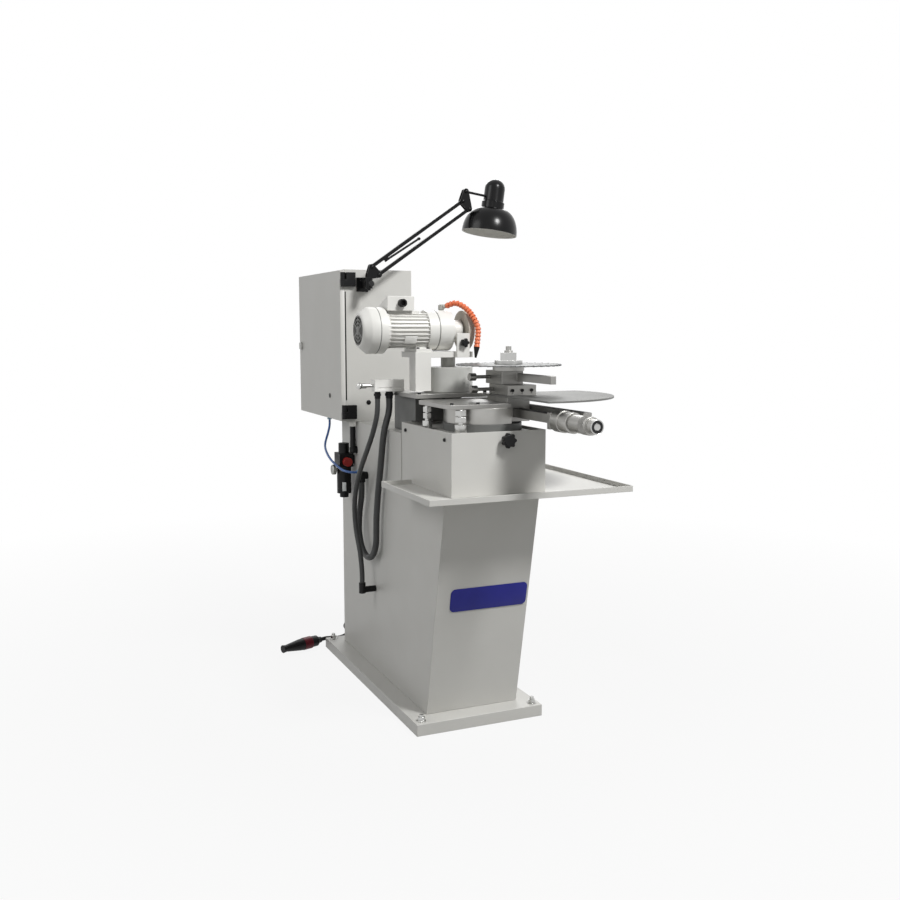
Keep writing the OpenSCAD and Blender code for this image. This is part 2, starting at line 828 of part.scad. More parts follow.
// A tube round a path, one radius per ring; side_ref is never parallel to the path
module sweep(path, radii, sides, side_ref) {
    n = len(path);
    rings = [for (i = [0 : n - 1]) let (
        t = unit(path[min(i + 1, n - 1)] - path[max(i - 1, 0)]),
        a = unit(cross(t, side_ref)),
        b = cross(t, a)
    ) for (k = [0 : sides - 1]) path[i] + radii[i] * (cos(k * 360 / sides) * a + sin(k * 360 / sides) * b)];
    skin = [for (i = [0 : n - 2], k = [0 : sides - 1]) let (j = (k + 1) % sides)
        each [[i * sides + k, (i + 1) * sides + j, i * sides + j],
            [i * sides + k, (i + 1) * sides + k, (i + 1) * sides + j]]];
    caps = [for (k = [1 : sides - 2])
        each [[0, k, k + 1], [(n - 1) * sides, (n - 1) * sides + k + 1, (n - 1) * sides + k]]];
    polyhedron(concat(rings), concat(skin, caps));
}

module plain_tube(path, d, sides, side_ref) {
    sweep(path, [for (p = path) d / 2], sides, side_ref);
}

// Coolant hose on the wheel guard, placed from the motor's axis
fitting = [3, motor_y];
fitting_r = 6;
fitting_top = guard_drum_r + 17;
hose_level = guard_drum_r + 8;
hose_dir = unit([0.75, -0.6, 0.28]);
spigot = 14;
hose_start = [for (out = [0, 6, 12]) [fitting.x, 0, hose_level] + (spigot + gap + out) * hose_dir];
hose_drop = [
    [41, -27, 82], [68, -45, 64], [82, -67, 35], [90, -77, 7], [86, -83, -27],
    [84, -84.3, -38], [83, -85, -43.7], [82, -85.7, -49.4]
];
hose_route = [for (p = concat(hose_start, hose_drop)) p + [0, motor_y, motor_z]];
nozzle_len = 32;

module coolant_hose() {
    rings = 2 * hose_ribs;
    path = smooth(hose_route, rings);
    first = path[0] - (path[1] - path[0]);
    last = 2 * path[rings] - path[rings - 1];
    color("#e8743b") difference() {
        sweep(path, [for (i = [0 : rings]) hose_r - (i % 2) * 2.5], 8, [0.8, 0.6, 0]);
        plain_tube(concat([first], path, [last]), hose_bore * 2, 6, [0.8, 0.6, 0]);
    }
}

module coolant_nozzle() {
    count = len(hose_route);
    last = hose_route[count - 1];
    tip_dir = unit(last - hose_route[count - 2]);
    color("#8f8f88") union() {
        bar_z(motor_z + guard_drum_r - 3, motor_z + fitting_top, fitting.x, fitting.y, fitting_r - run);
        bar_z(motor_z + guard_drum_r + 1, motor_z + fitting_top - 2, fitting.x, fitting.y, fitting_r + 3);
        translate([fitting.x, fitting.y, motor_z + hose_level])
            rotate([0, acos(hose_dir.z), atan2(hose_dir.y, hose_dir.x)]) cylinder(h = spigot, r = hose_r - 3);
    }
    color(black) translate(last)
        rotate([0, acos(tip_dir.z), atan2(tip_dir.y, tip_dir.x)]) cylinder(h = nozzle_len, r1 = hose_r, r2 = 3);
}

// Cabinet
cabinet_back = cabinet_y + cabinet_d;
cabinet_right = cabinet_x + cabinet_w;
cabinet_top = tower_top + cabinet_h;
door_left = cabinet_x - door_t;
pin_x = cabinet_x - door_t / 2;
hinge_reach = 7;
pin_y = cabinet_y - hinge_reach;
knuckle_r = door_t / 2 - gap;
door_inset = 3;
hinge_lows = [tower_top + 10, cabinet_top - 10 - hinge_h];
lock_y = cabinet_back - 29;
lock_z = tower_top + 244;
lock_r = 6;

module cabinet_body() {
    color(paint) difference() {
        slab([cabinet_x, cabinet_y, tower_top], [cabinet_right, cabinet_back, cabinet_top]);
        slab([cabinet_x - eps, cabinet_y + cabinet_wall, tower_top + cabinet_wall],
            [cabinet_right - cabinet_wall, cabinet_back - cabinet_wall, cabinet_top - cabinet_wall]);
    }
}

module hinge_blocks() {
    plate_left = cabinet_x + 2;
    plate_right = cabinet_x + 34;
    color(black) for (z = hinge_lows) union() {
        bar_z(z, z + hinge_h / 2, pin_x, pin_y, knuckle_r);
        slab([pin_x, pin_y - hinge_reach, z], [plate_right, cabinet_y, z + hinge_h / 2]);
        slab([plate_left, pin_y - hinge_reach, z], [plate_right, cabinet_y, z + hinge_h]);
        bar_z(z + hinge_h / 2 - eps, z + hinge_h, pin_x, pin_y, hinge_pin_r);
    }
}

// The door's knuckles stand on the lower halves of the hinge blocks
module cabinet_door() {
    inner = cabinet_x - gap;
    edge = cabinet_y + 1;
    color(paint) difference() {
        union() {
            slab([door_left, cabinet_y + gap, tower_top + door_inset],
                [inner, cabinet_back, cabinet_top - door_inset]);
            for (z = hinge_lows) {
                slab([door_left, pin_y, z + hinge_h / 2 + gap], [inner, edge, z + hinge_h]);
                bar_z(z + hinge_h / 2 + gap, z + hinge_h, pin_x, pin_y, knuckle_r);
            }
        }
        for (z = hinge_lows) {
            slab([door_left - eps, cabinet_y - eps, z - 1], [cabinet_x, edge, z + hinge_h / 2]);
            bar_z(z, z + hinge_h + eps, pin_x, pin_y, hinge_pin_r + run);
        }
        bar_x(door_left - eps, cabinet_x, lock_y, lock_z, lock_r + run);
    }
}

module door_lock() {
    color("#a5a6a4") union() {
        bar_x(door_left - 8, door_left - gap, lock_y, lock_z, 14);
        bar_x(door_left - 1, cabinet_x + 6, lock_y, lock_z, lock_r);
        slab([cabinet_x + 3, lock_y - 8, lock_z - 8], [cabinet_x + 6, lock_y + 22, lock_z + 8]);
        slab([door_left - 11, lock_y - 2, lock_z - 11], [door_left - 7, lock_y + 2, lock_z + 11]);
    }
}

panel_t = 3;
panel_left = cabinet_right - cabinet_wall - 12;
panel_side = 30;
panel_end = 36;
panel_y = [cabinet_y + panel_side, cabinet_back - panel_side];
panel_z = [tower_top + panel_end, cabinet_top - panel_end];

breaker_count = 4;
breaker_step = 62;
breaker_size = [75, 48, 90];
drive_size = [90, 110, 95];
terminal_size = [40, 150, 44];
gear_inset = 40;

// A device on the mounting plate, its corner at y and z
module device(size, y, z) {
    slab([panel_left - panel_t - size.x, y, z], [panel_left - panel_t, y + size.y, z + size.z]);
}

module control_gear() {
    low_y = panel_y[0] + gear_inset;
    low_z = panel_z[0] + gear_inset;
    color("#c9ccd0") slab([panel_left - panel_t, panel_y[0], panel_z[0]], [panel_left, panel_y[1], panel_z[1]]);
    color(steel) for (y = [panel_y[0] + 20, panel_y[1] - 20], z = [panel_z[0] + 20, panel_z[1] - 20])
        bar_x(panel_left, cabinet_right - cabinet_wall, y, z, 5);
    color(dark) for (i = [0 : breaker_count - 1])
        device(breaker_size, low_y + i * breaker_step, panel_z[1] - 60 - breaker_size.z);
    color("#6d6f70") device(drive_size, low_y, low_z);
    color("#d9d9d2") device(terminal_size, low_y + terminal_size.y, low_z);
}

// Lamp, in a plane of constant Y in front of the cabinet
lamp_y = 150;
post_x = -124;
post_r = 6;
clamp_drop = 64;
clamp_low = cabinet_top - clamp_drop;
clamp_top = clamp_low + 30;
pivot_rise = 69;
pivot_a = [-115.5, clamp_low + pivot_rise];
link_step = [24, -24.5];
arm_step = lamp_len * [cos(lamp_angle), sin(lamp_angle)];
head_step = [11.8, 32.3];
pivot_b = pivot_a + arm_step;
head_pivot = pivot_b + head_step;
cheek_t = 3.7;
eye_r = lamp_bar / 2 + 3;

module lamp_clamp() {
    color(black) difference() {
        union() {
            slab([post_x - 20, cabinet_y - 6, clamp_low - 8], [post_x + 20, cabinet_y, clamp_top + 8]);
            slab([post_x - 8, lamp_y, clamp_low + 4], [post_x + 8, cabinet_y - 5, clamp_top - 4]);
            bar_z(clamp_low, clamp_top, post_x, lamp_y, post_r + 6);
        }
        bar_z(clamp_low - eps, clamp_top + eps, post_x, lamp_y, post_r + run);
    }
}

// Two cheek plates round three points in X and Z, with pins across them
module cheeks(corners, pins) {
    for (side = [-1, 1]) hull() for (c = corners)
        bar_y(lamp_y + side * (lamp_bar / 2 + gap + cheek_t / 2) - cheek_t / 2,
            lamp_y + side * (lamp_bar / 2 + gap + cheek_t / 2) + cheek_t / 2, c[0], c[1], eye_r + 1, $fn = 32);
    for (p = pins)
        bar_y(lamp_y - lamp_bar / 2 - gap - 1, lamp_y + lamp_bar / 2 + gap + 1, p[0], p[1], lamp_pin_r);
}

module lamp_post() {
    foot = clamp_top + gap;
    half = lamp_bar / 2 + gap + cheek_t;
    color(black) union() {
        bar_z(clamp_low - 6, foot + 1, post_x, lamp_y, post_r);
        bar_z(foot, foot + 6, post_x, lamp_y, post_r + 5);
        slab([post_x - 9, lamp_y - half, foot + 5], [post_x + 9, lamp_y + half, foot + 10]);
        cheeks([pivot_a, pivot_a + link_step, [post_x, foot + 10]], [pivot_a, pivot_a + link_step]);
    }
}

// One bar of the arm with an eye at each end
module lamp_bar_from(p) {
    translate([p[0], lamp_y, p[1]]) rotate([0, -lamp_angle, 0]) difference() {
        union() {
            slab([0, -lamp_bar / 2, -lamp_bar / 2], [lamp_len, lamp_bar / 2, lamp_bar / 2]);
            for (x = [0, lamp_len]) bar_y(-lamp_bar / 2, lamp_bar / 2, x, 0, eye_r);
        }
        for (x = [0, lamp_len]) bar_y(-lamp_bar, lamp_bar, x, 0, lamp_pin_r + run);
    }
}

module lamp_arm() {
    color(black) lamp_bar_from(pivot_a);
}

// Covered balance spring, carried by a lug under the arm; it slants towards the link and stops clear of it
stay_start = 58;
stay_end = 190;
stay_r = 3.5;
stay_drop = 11;

module lamp_stay() {
    top = -lamp_bar / 2;
    start_z = top - stay_r - 1.5;
    end_z = top - stay_drop;
    slant = atan2(start_z - end_z, stay_end - stay_start);
    color(black) translate([pivot_a[0], lamp_y, pivot_a[1]]) rotate([0, -lamp_angle, 0]) union() {
        slab([stay_start - 8, -stay_r, start_z - stay_r], [stay_start + 8, stay_r, top]);
        translate([stay_start, 0, start_z]) rotate([0, 90 + slant, 0])
            cylinder(h = norm([stay_end - stay_start, start_z - end_z]), r = stay_r);
        bar_y(-stay_r, stay_r, stay_end, end_z, stay_r + 1.5);
    }
}

module lamp_link() {
    color(black) lamp_bar_from(pivot_a + link_step);
}

module lamp_knuckle() {
    color(black) cheeks([pivot_b, pivot_b + link_step, head_pivot], [pivot_b, pivot_b + link_step, head_pivot]);
}

neck_r = 38;
socket_len = 99;
socket_reach = 107;
rod_rise = 38;
head_rod_r = 4;
dome_h = 32;
bulb_r = 24;

// The lamp's head is drawn upright on its own axis, its rim at zero, then leaned and set on its pivot
module on_lamp_head() {
    translate([head_pivot[0], lamp_y, head_pivot[1]]) rotate([0, shade_lean, 0])
        translate([socket_reach, 0, -shade_h - rod_rise]) children();
}

function shade_arc(inset) = [for (a = [0 : 9 : 90])
    [neck_r + (shade_r - neck_r) * cos(a) - inset, (shade_h - inset) * sin(a)]];

module lamp_shade() {
    arc = shade_arc(0);
    inner = shade_arc(shade_t);
    color(black) on_lamp_head() rotate_extrude()
        polygon(concat(arc, [for (i = [len(inner) - 1 : -1 : 0]) inner[i]]));
}

module lamp_socket() {
    top = shade_h + socket_len;
    color(black) on_lamp_head() difference() {
        union() {
            rotate_extrude() polygon(concat(
                [[0, shade_h], [neck_r, shade_h], [neck_r, shade_h + 22], [neck_r - 4, shade_h + 25]],
                [for (a = [0 : 15 : 90]) [(neck_r - 4) * cos(a), top - dome_h + dome_h * sin(a)]]
            ));
            bar_x(-socket_reach, -neck_r + 12, 0, shade_h + rod_rise, head_rod_r);
            bar_y(-lamp_bar / 2, lamp_bar / 2, -socket_reach, shade_h + rod_rise, eye_r);
        }
        bar_y(-lamp_bar, lamp_bar, -socket_reach, shade_h + rod_rise, lamp_pin_r + run);
    }
    color("#f4f2e6") on_lamp_head() union() {
        translate([0, 0, shade_h - 36]) sphere(r = bulb_r);
        bar_z(shade_h - 30, shade_h, 0, 0, 13);
    }
}

// Air service unit on the column's left side
unit_x = -176;
unit_y = 275;
unit_z = 680;
unit_half = 30;
unit_face = unit_y - unit_half;
unit_knob_r = 15;
unit_stem_r = 5;
port_r = 5.7;
port_len = 14;

module air_unit() {
    color(black) difference() {
        union() {
            slab([unit_x - 24, unit_face, unit_z], [unit_x + 24, unit_y + unit_half, unit_z + 45]);
            slab([unit_x + 23, unit_y - 20, unit_z + 8], [-column_half_w, unit_y + 20, unit_z + 37]);
            bar_z(unit_z + 44, unit_z + 78, unit_x, unit_y, 18);
            bar_z(unit_z - 92, unit_z + eps, unit_x, unit_y, 24);
            bar_z(unit_z - 106, unit_z - 90, unit_x, unit_y, 15);
        }
        bar_y(unit_face - eps, unit_face + 16, unit_x, unit_z + 18, unit_stem_r + run);
        bar_y(unit_y + unit_half - port_len, unit_y + unit_half + eps, unit_x, unit_z + 22, port_r);
    }
}

module air_knob() {
    color("#a8281f") union() {
        bar_y(unit_face - 18, unit_face - gap, unit_x, unit_z + 18, unit_knob_r);
        bar_y(unit_face - 1, unit_face + 15, unit_x, unit_z + 18, unit_stem_r);
    }
}

// Air cylinder on the head's base plate, its rod along -X
cyl_y = -75;
cyl_left = -192;
cyl_low = head_base_low + head_base_t;
cyl_z = cyl_low + cyl_w / 2;
rod_out = 33;

module air_cylinder() {
    color("#f0efea") difference() {
        slab([cyl_left, cyl_y - cyl_w / 2, cyl_low], [cyl_left + cyl_len, cyl_y + cyl_w / 2, cyl_low + cyl_w]);
        bar_x(cyl_left - eps, cyl_left + cyl_len - 8, cyl_y, cyl_z, rod_r + run);
        for (side = [-1, 1])
            slab([cyl_left + 12, cyl_y + side * cyl_w / 2 - 2, cyl_low + 8],
                [cyl_left + cyl_len - 8, cyl_y + side * cyl_w / 2 + 2, cyl_low + 12]);
    }
}

// Rod, collar and ball end are turned as one piece, drawn from the ball's centre
ball_r = rod_r + 5;
ball_out = rod_out + 10;
collar_r = rod_r + 3;
collar_end = 20;
rod_end = ball_out + 60;

module piston_rod() {
    ball = [for (a = [0 : 15 : 120]) ball_r * [sin(a), -cos(a)]];
    shank = [[collar_r, 6], [collar_r, collar_end], [rod_r, collar_end], [rod_r, rod_end], [0, rod_end]];
    color("#e4e4e2") translate([cyl_left - ball_out, cyl_y, cyl_z]) rotate([0, 90, 0]) rotate_extrude()
        polygon(concat(ball, shank));
}

// Routes of the free leads, chosen by hand
head_hose_route = [
    [-140, -75, 930], [-140, -75, 918], [-140, -75, 906], [-144, -76, 880],
    [-156, -77, 840], [-163, -75, 790], [-165, -62, 720], [-165, -42, 655],
    [-165, -26, 592], [-165, -17.5, 540], [-165, -15.5, 492], [-165, 9.4, 432],
    [-165, 69.5, 407], [-165, 129.6, 432], [-165, 154.5, 492], [-165, 146, 545],
    [-165, 128, 592], [-165, 124, 621], [-165, 124, 633], [-165, 124, 645]
];
motor_hose_route = [
    [-178, -75, 930], [-178, -75, 919], [-178, -75, 908], [-178.5, -73.5, 892],
    [-180, -68, 868], [-184, -44, 820], [-188, -6, 768], [-190, 44, 712],
    [-190, 92, 652], [-190, 120, 590], [-190, 122, 530], [-190, 102, 474],
    [-190, 72, 425], [-190, 56, 374], [-190, 53, 350], [-190, 53, 339],
    [-190, 53, 328]
];
air_tube_route = [
    [-165, 470, 822], [-165, 470, 814], [-165, 470, 806], [-166.5, 469.5, 795],
    [-170, 467.5, 783], [-175.5, 462.5, 769], [-183, 453, 756], [-191, 438, 745],
    [-199, 417, 736], [-206, 390, 728], [-212, 356, 719], [-216, 318, 708.5],
    [-216.5, 280, 698], [-213.5, 248, 689.5], [-209.5, 224, 682.5], [-205.8, 204.7, 677.5],
    [-202.2, 196, 675.5], [-196.5, 188.5, 673.5], [-189, 182.8, 671.8], [-180.3, 179.2, 670.5],
    [-171, 178, 670], [-167, 178, 670], [-163, 178, 670]
];
cord_lead_route = [
    [102, 418, 110], [102, 424, 110], [102, 430, 110], [102, 438, 109.4],
    [102, 448, 107], [102, 459, 102], [102, 469, 94], [102, 478, 83],
    [102, 486.5, 67.5], [102, 494.5, 52], [102, 502, 36.4], [102, 511.4, 23.9],
    [102, 523, 15], [102, 536.5, 9.4], [102, 546, 7.6], [102, 551, 7.5],
    [102, 556, 7.5]
];
cord_tail_route = [
    [-82, 556, 22.5], [-82, 552, 22.5], [-82, 548, 22.5], [-83, 538, 22.2],
    [-86, 526.5, 21.3], [-93, 514.5, 19.5], [-102.5, 504.3, 17.5], [-114, 497, 15.8],
    [-129, 491.5, 14.5], [-146, 487, 14.8], [-163, 483.2, 17.4], [-174, 480.9, 19.8],
    [-184, 478.2, 21.4], [-194, 474.8, 22], [-202, 471.9, 22], [-210, 469, 22]
];
mains_x = 102;
mains_z = 110;
gland_r = 10;

module head_hose() {
    color("#5f605e") plain_tube(halved(head_hose_route), head_hose_d, 10, [1, 0.1, 0]);
}

module motor_hose() {
    color("#5f605e") plain_tube(halved(motor_hose_route), motor_hose_d, 10, [1, 0.1, 0]);
}

module air_tube() {
    color("#5c7fb8") plain_tube(halved(air_tube_route), air_tube_d, 8, [0.7, 0.7, 0.1]);
}

module cord_lead() {
    color(black) plain_tube(halved(cord_lead_route), mains_d, 8, [1, 0, 0]);
}

module cord_tail() {
    color(black) plain_tube(halved(cord_tail_route), mains_d, 8, [0, 0, 1]);
}

// The rest of the lead is wound flat on the floor: in, up a layer, and out again
coil_step = mains_d + 3;
coil_layer = mains_d + 1;
coil_outer = 92;
coil_turns_in = 2;
coil_climb = 0.5;
coil_turns = 2 * coil_turns_in + coil_climb;
coil_per_turn = 24;
coil_centre = [mains_x - coil_outer, 570];
coil_low = 7.5;

function coil_radius(t) = t < coil_turns_in ? coil_outer - coil_step * t
    : t < coil_turns_in + coil_climb ? coil_outer - coil_step * coil_turns_in
    : coil_outer - coil_step * (coil_turns - t);
function coil_z(t) = coil_low + coil_layer * min(max((t - coil_turns_in) / coil_climb, 0), 1);
function coil_point(t) = [
    coil_centre.x + coil_radius(t) * cos(360 * t), coil_centre.y + coil_radius(t) * sin(360 * t), coil_z(t)
];
coil_count = coil_turns * coil_per_turn;
coil_path = concat(
    [coil_point(0) - [0, mains_d, 0]],
    [for (i = [0 : coil_count]) coil_point(i / coil_per_turn)],
    [coil_point(coil_turns) - [0, mains_d, 0]]
);
coil_gap = min([for (i = [0 : coil_count], j = [i + coil_per_turn / 2 : 1 : coil_count])
    norm(coil_path[i + 1] - coil_path[j + 1])]) - mains_d;
echo(coil_gap = coil_gap);

module cord_coil() {
    color(black) plain_tube(coil_path, mains_d, 6, [0, 0, 1]);
}

// Plug at the end of the lead, lying on the floor
tail_count = len(cord_tail_route);
plug_at = cord_tail_route[tail_count - 1];
plug_dir = unit(plug_at - cord_tail_route[tail_count - 2]);
plug_turn = atan2(plug_dir.y, plug_dir.x);
plug_r = plug_at.z;
red_from = 46;
red_to = 80;
plug_len = 165;

module plug_profile(outline) {
    translate(plug_at) rotate([0, 90, plug_turn]) rotate_extrude() polygon(outline);
}

module mains_plug() {
    color(black) plug_profile([[0, 0], [10, 0], [12, 12], [19, 20], [20, red_from], [0, red_from]]);
    color("#8c1220") plug_profile([[0, red_from], [plug_r, red_from], [plug_r, red_to], [0, red_to]]);
    color(black) plug_profile([
        [0, red_to], [plug_r - 1, red_to], [plug_r - 2, red_to + 15], [12, plug_len - 14],
        [14, plug_len], [0, plug_len]
    ]);
}

// Glands and elbows that the hoses and leads leave from
module elbow_gland(at, r, down) {
    spout = down ? [at.z, at.z + 34] : [at.z - 34, at.z];
    union() {
        bar_z(spout[0], spout[1], at.x, at.y, r);
        bar_x(at.x, -column_half_w, at.y, down ? spout[1] - r : spout[0] + r, r - 1);
    }
}

module hose_glands() {
    tops = [[head_hose_route[0], head_hose_d], [motor_hose_route[0], motor_hose_d]];
    head_end = head_hose_route[len(head_hose_route) - 1];
    motor_end = motor_hose_route[len(motor_hose_route) - 1];
    tube_end = air_tube_route[len(air_tube_route) - 1];
    tube_start = air_tube_route[0];
    color(black) {
        for (t = tops) union() {
            bar_z(t[0].z, cyl_low, t[0].x, t[0].y, t[1] / 2 + 1);
            translate([t[0].x, t[0].y, t[0].z + 8]) cylinder(h = 8, r = t[1] / 2 + 4, $fn = 6);
        }
        elbow_gland(head_end, head_hose_d / 2 + 3, true);
        elbow_gland(motor_end, motor_hose_d / 2 + 3, false);
        union() {
            bar_y(column_back_y - column_wall, column_back_y + 12, mains_x, mains_z, gland_r - run);
            bar_y(column_back_y, column_back_y + 12, mains_x, mains_z, gland_r + 5);
            translate([mains_x, column_back_y + 11, mains_z]) rotate([-90, 0, 0])
                cylinder(h = cord_lead_route[0].y - column_back_y - 11, r1 = gland_r + 2, r2 = mains_d / 2 + 1);
        }
    }
    color("#9fc3d8") {
        bar_x(tube_end.x, -column_half_w, tube_end.y, tube_end.z, 8);
        bar_z(tube_start.z, tower_top, tube_start.x, tube_start.y, 8);
    }
}

base_plate();
levelling_screws();
column();
name_plate();
chip_tray();
table_box();
turntable_base();
jack_studs();
turntable_knob();
turntable();
bed_plate();
slide_rail();
screw_sleeve();
lead_screw();
thimble();
saddle();
guard_plate();
arbor_block();
index_block();
arbor();
saw_blade();
blade_clamp();
head_support();
head_base();
turret();
head_plate();
guard_knob();
motor_body();
fan_cover();
terminal_box();
motor_rotor();
wheel_guard();
grinding_wheel();
coolant_hose();
coolant_nozzle();
cabinet_body();
hinge_blocks();
cabinet_door();
door_lock();
control_gear();
lamp_clamp();
lamp_post();
lamp_arm();
lamp_stay();
lamp_link();
lamp_knuckle();
lamp_shade();
lamp_socket();
air_unit();
air_knob();
air_cylinder();
piston_rod();
hose_glands();
head_hose();
motor_hose();
air_tube();
cord_lead();
cord_coil();
cord_tail();
mains_plug();
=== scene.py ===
# %% [markdown]
# # Dressing a circular saw blade sharpener
#
# The machine stands on the floor. A folded sheet-steel column carries a tray, a swivelling table with a
# blade slide, a motor head on a turret, a control cabinet and a swing-arm lamp. The solids arrive at
# their real size as a fixed frame, and this lesson gives them their finishes, edges, leads and small
# fittings.

# %% Load the frame
import json
from math import atan2, cos, pi, radians, sin

import bmesh
import bpy
from mathutils import Matrix, Vector

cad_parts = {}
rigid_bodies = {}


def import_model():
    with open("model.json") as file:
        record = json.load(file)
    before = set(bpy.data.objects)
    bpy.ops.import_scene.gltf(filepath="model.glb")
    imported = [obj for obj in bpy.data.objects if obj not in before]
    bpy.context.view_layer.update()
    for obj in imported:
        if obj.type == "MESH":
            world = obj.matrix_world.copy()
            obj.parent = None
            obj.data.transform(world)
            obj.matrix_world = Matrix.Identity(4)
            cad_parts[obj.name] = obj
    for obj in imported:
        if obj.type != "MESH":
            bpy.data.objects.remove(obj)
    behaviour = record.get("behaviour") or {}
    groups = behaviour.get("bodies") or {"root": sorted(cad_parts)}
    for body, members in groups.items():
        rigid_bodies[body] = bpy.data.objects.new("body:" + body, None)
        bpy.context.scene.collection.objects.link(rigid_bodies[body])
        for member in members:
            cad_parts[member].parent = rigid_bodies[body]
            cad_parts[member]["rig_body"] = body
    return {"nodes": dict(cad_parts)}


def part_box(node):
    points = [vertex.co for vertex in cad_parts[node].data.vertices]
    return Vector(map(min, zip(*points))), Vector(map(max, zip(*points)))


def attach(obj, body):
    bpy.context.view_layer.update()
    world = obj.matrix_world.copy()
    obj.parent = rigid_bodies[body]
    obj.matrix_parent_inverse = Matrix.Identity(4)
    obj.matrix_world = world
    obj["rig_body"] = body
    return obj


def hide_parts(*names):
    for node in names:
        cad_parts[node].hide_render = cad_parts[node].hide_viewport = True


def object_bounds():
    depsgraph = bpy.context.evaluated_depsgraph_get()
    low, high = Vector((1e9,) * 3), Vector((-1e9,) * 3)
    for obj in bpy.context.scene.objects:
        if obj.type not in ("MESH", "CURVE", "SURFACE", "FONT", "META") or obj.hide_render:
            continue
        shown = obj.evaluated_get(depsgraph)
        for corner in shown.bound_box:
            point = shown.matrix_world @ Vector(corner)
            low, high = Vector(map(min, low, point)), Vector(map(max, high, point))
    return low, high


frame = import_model()
cad_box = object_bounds()
nodes = frame["nodes"]
MM = 0.001

# %% [markdown]
# ## The camera
#
# The photograph was taken from the operator's left, a little below the lamp, with a lens of normal
# length. Its place was worked out from the edges of the plinth, the column and the cabinet, which are
# square on the real machine.

# %% Camera
LENS, SENSOR = 40.507, 36
CAMERA_AT = (-1.2124, -2.9849, 1.1445)
CAMERA_TILT, CAMERA_TURN = radians(83.117), radians(-23.668)
FARTHEST = 60
camera_data = bpy.data.cameras.new("camera")
camera_data.sensor_width = SENSOR
camera_data.lens = LENS
camera_data.clip_end = FARTHEST
camera = bpy.data.objects.new("camera", camera_data)
camera.location = CAMERA_AT
camera.rotation_euler = (CAMERA_TILT, 0, CAMERA_TURN)
bpy.context.scene.collection.objects.link(camera)
bpy.context.scene.camera = camera
print("camera at", tuple(camera.location))

# %% [markdown]
# ## A way to write finishes
#
# Every finish here is one Principled shader fed by patterns in the object's own coordinates, so that a
# grain of one millimetre is one millimetre on every piece. Colours are written as sRGB hex values, as a
# paint chart gives them, and one function turns them to the linear values that the shader works in. A
# finish could also be painted on an image, but a pattern in code stays sharp at any distance and needs
# no unwrapping.

# %% Colours and nodes
def srgb(code):
    """The linear colour of an sRGB hex value."""
    channels = [int(code[i : i + 2], 16) / 255 for i in (1, 3, 5)]
    return [c / 12.92 if c <= 0.04045 else ((c + 0.055) / 1.055) ** 2.4 for c in channels] + [1.0]


def add(material, kind, settings={}, links={}):
    """Adds a node, sets its properties and sockets, and links its inputs."""
    node = material.node_tree.nodes.new(kind)
    for name, value in settings.items():
        if isinstance(name, int) or name in node.inputs:
            node.inputs[name].default_value = value
        else:
            setattr(node, name, value)
    for name, source in links.items():
        material.node_tree.links.new(source, node.inputs[name])
    return node


# A Mix node that mixes colours takes them in at sockets 6 and 7, and gives its colour out at socket 2.
MIX_DARK, MIX_LIGHT, MIX_RESULT = 6, 7, 2


def surface(name, light, dark, roughness, metallic=0.0, patch=60, grain=1.0, depth=0.02, spread=0.06,
            along=(1, 1, 1), gloss=0.5):
    """A finish with soft patches of tone and a fine grain. Patch, grain and depth are in millimetres."""
    material = bpy.data.materials.new(name)
    material.use_nodes = True
    shader = material.node_tree.nodes["Principled BSDF"]
    shader.inputs["Metallic"].default_value = metallic
    shader.inputs["Specular IOR Level"].default_value = gloss
    place = add(material, "ShaderNodeTexCoord").outputs["Object"]
    patches = add(material, "ShaderNodeTexNoise", {"Scale": 1 / (patch * MM), "Detail": 4.0},
                  {"Vector": place})
    tone = add(material, "ShaderNodeMix",
               {"data_type": "RGBA", MIX_DARK: srgb(dark), MIX_LIGHT: srgb(light)},
               {0: patches.outputs["Fac"]})
    drawn = add(material, "ShaderNodeMapping", {"Scale": along}, {"Vector": place})
    fine = add(material, "ShaderNodeTexNoise", {"Scale": 1 / (grain * MM), "Detail": 3.0},
               {"Vector": drawn.outputs["Vector"]})
    rough = add(material, "ShaderNodeMapRange",
                {"To Min": roughness - spread, "To Max": roughness + spread},
                {"Value": fine.outputs["Fac"]})
    bump = add(material, "ShaderNodeBump", {"Distance": depth * MM, "Strength": 0.6},
               {"Height": fine.outputs["Fac"]})
    for socket, source in (("Base Color", tone.outputs[MIX_RESULT]),
                           ("Roughness", rough.outputs["Result"]),
                           ("Normal", bump.outputs["Normal"])):
        material.node_tree.links.new(source, shader.inputs[socket])
    return material


# %% [markdown]
# ## Paint and powder coat
#
# The column, tray and cabinet are powder coated: a baked plastic film with a faint orange peel a few
# millimetres across and a soft sheen. The motor and its guard have a smoother white machine enamel.
# Paint is no metal, so its gloss comes from the refraction of its film, and its metallic value stays at
# zero. Dark coats have a weaker gloss, because white surroundings would turn them grey.

# %% Painted finishes
# Powder melts and flows in an oven, which leaves low bumps and a wide, soft highlight.
powder_coat = surface("powder coat, pale grey", "#cfceca", "#c5c4bf", 0.46, patch=160, grain=2.2,
                      depth=0.05)
# Sprayed enamel is thinner and levels better, so its highlight is sharper.
machine_enamel = surface("machine enamel, white", "#e4e3df", "#dad9d4", 0.38, patch=90, grain=1.6,
                         depth=0.03)
# Enamel on a flat plate is smooth and even.
plate_enamel = surface("plate enamel, blue", "#26298c", "#1f227b", 0.34, patch=40, grain=1.2, depth=0.01,
                       gloss=0.25)
# Paint on a casting shows the sand's grain through it.
iron_paint = surface("iron paint, grey", "#6c6d6b", "#5c5d5b", 0.5, patch=30, grain=1.5, depth=0.08)
# Lamp lacquer is the smoothest coat here, with a small clear highlight.
lacquer = surface("lamp lacquer, black", "#070708", "#030304", 0.24, patch=50, grain=1.8, depth=0.01,
                  spread=0.03, gloss=0.22)
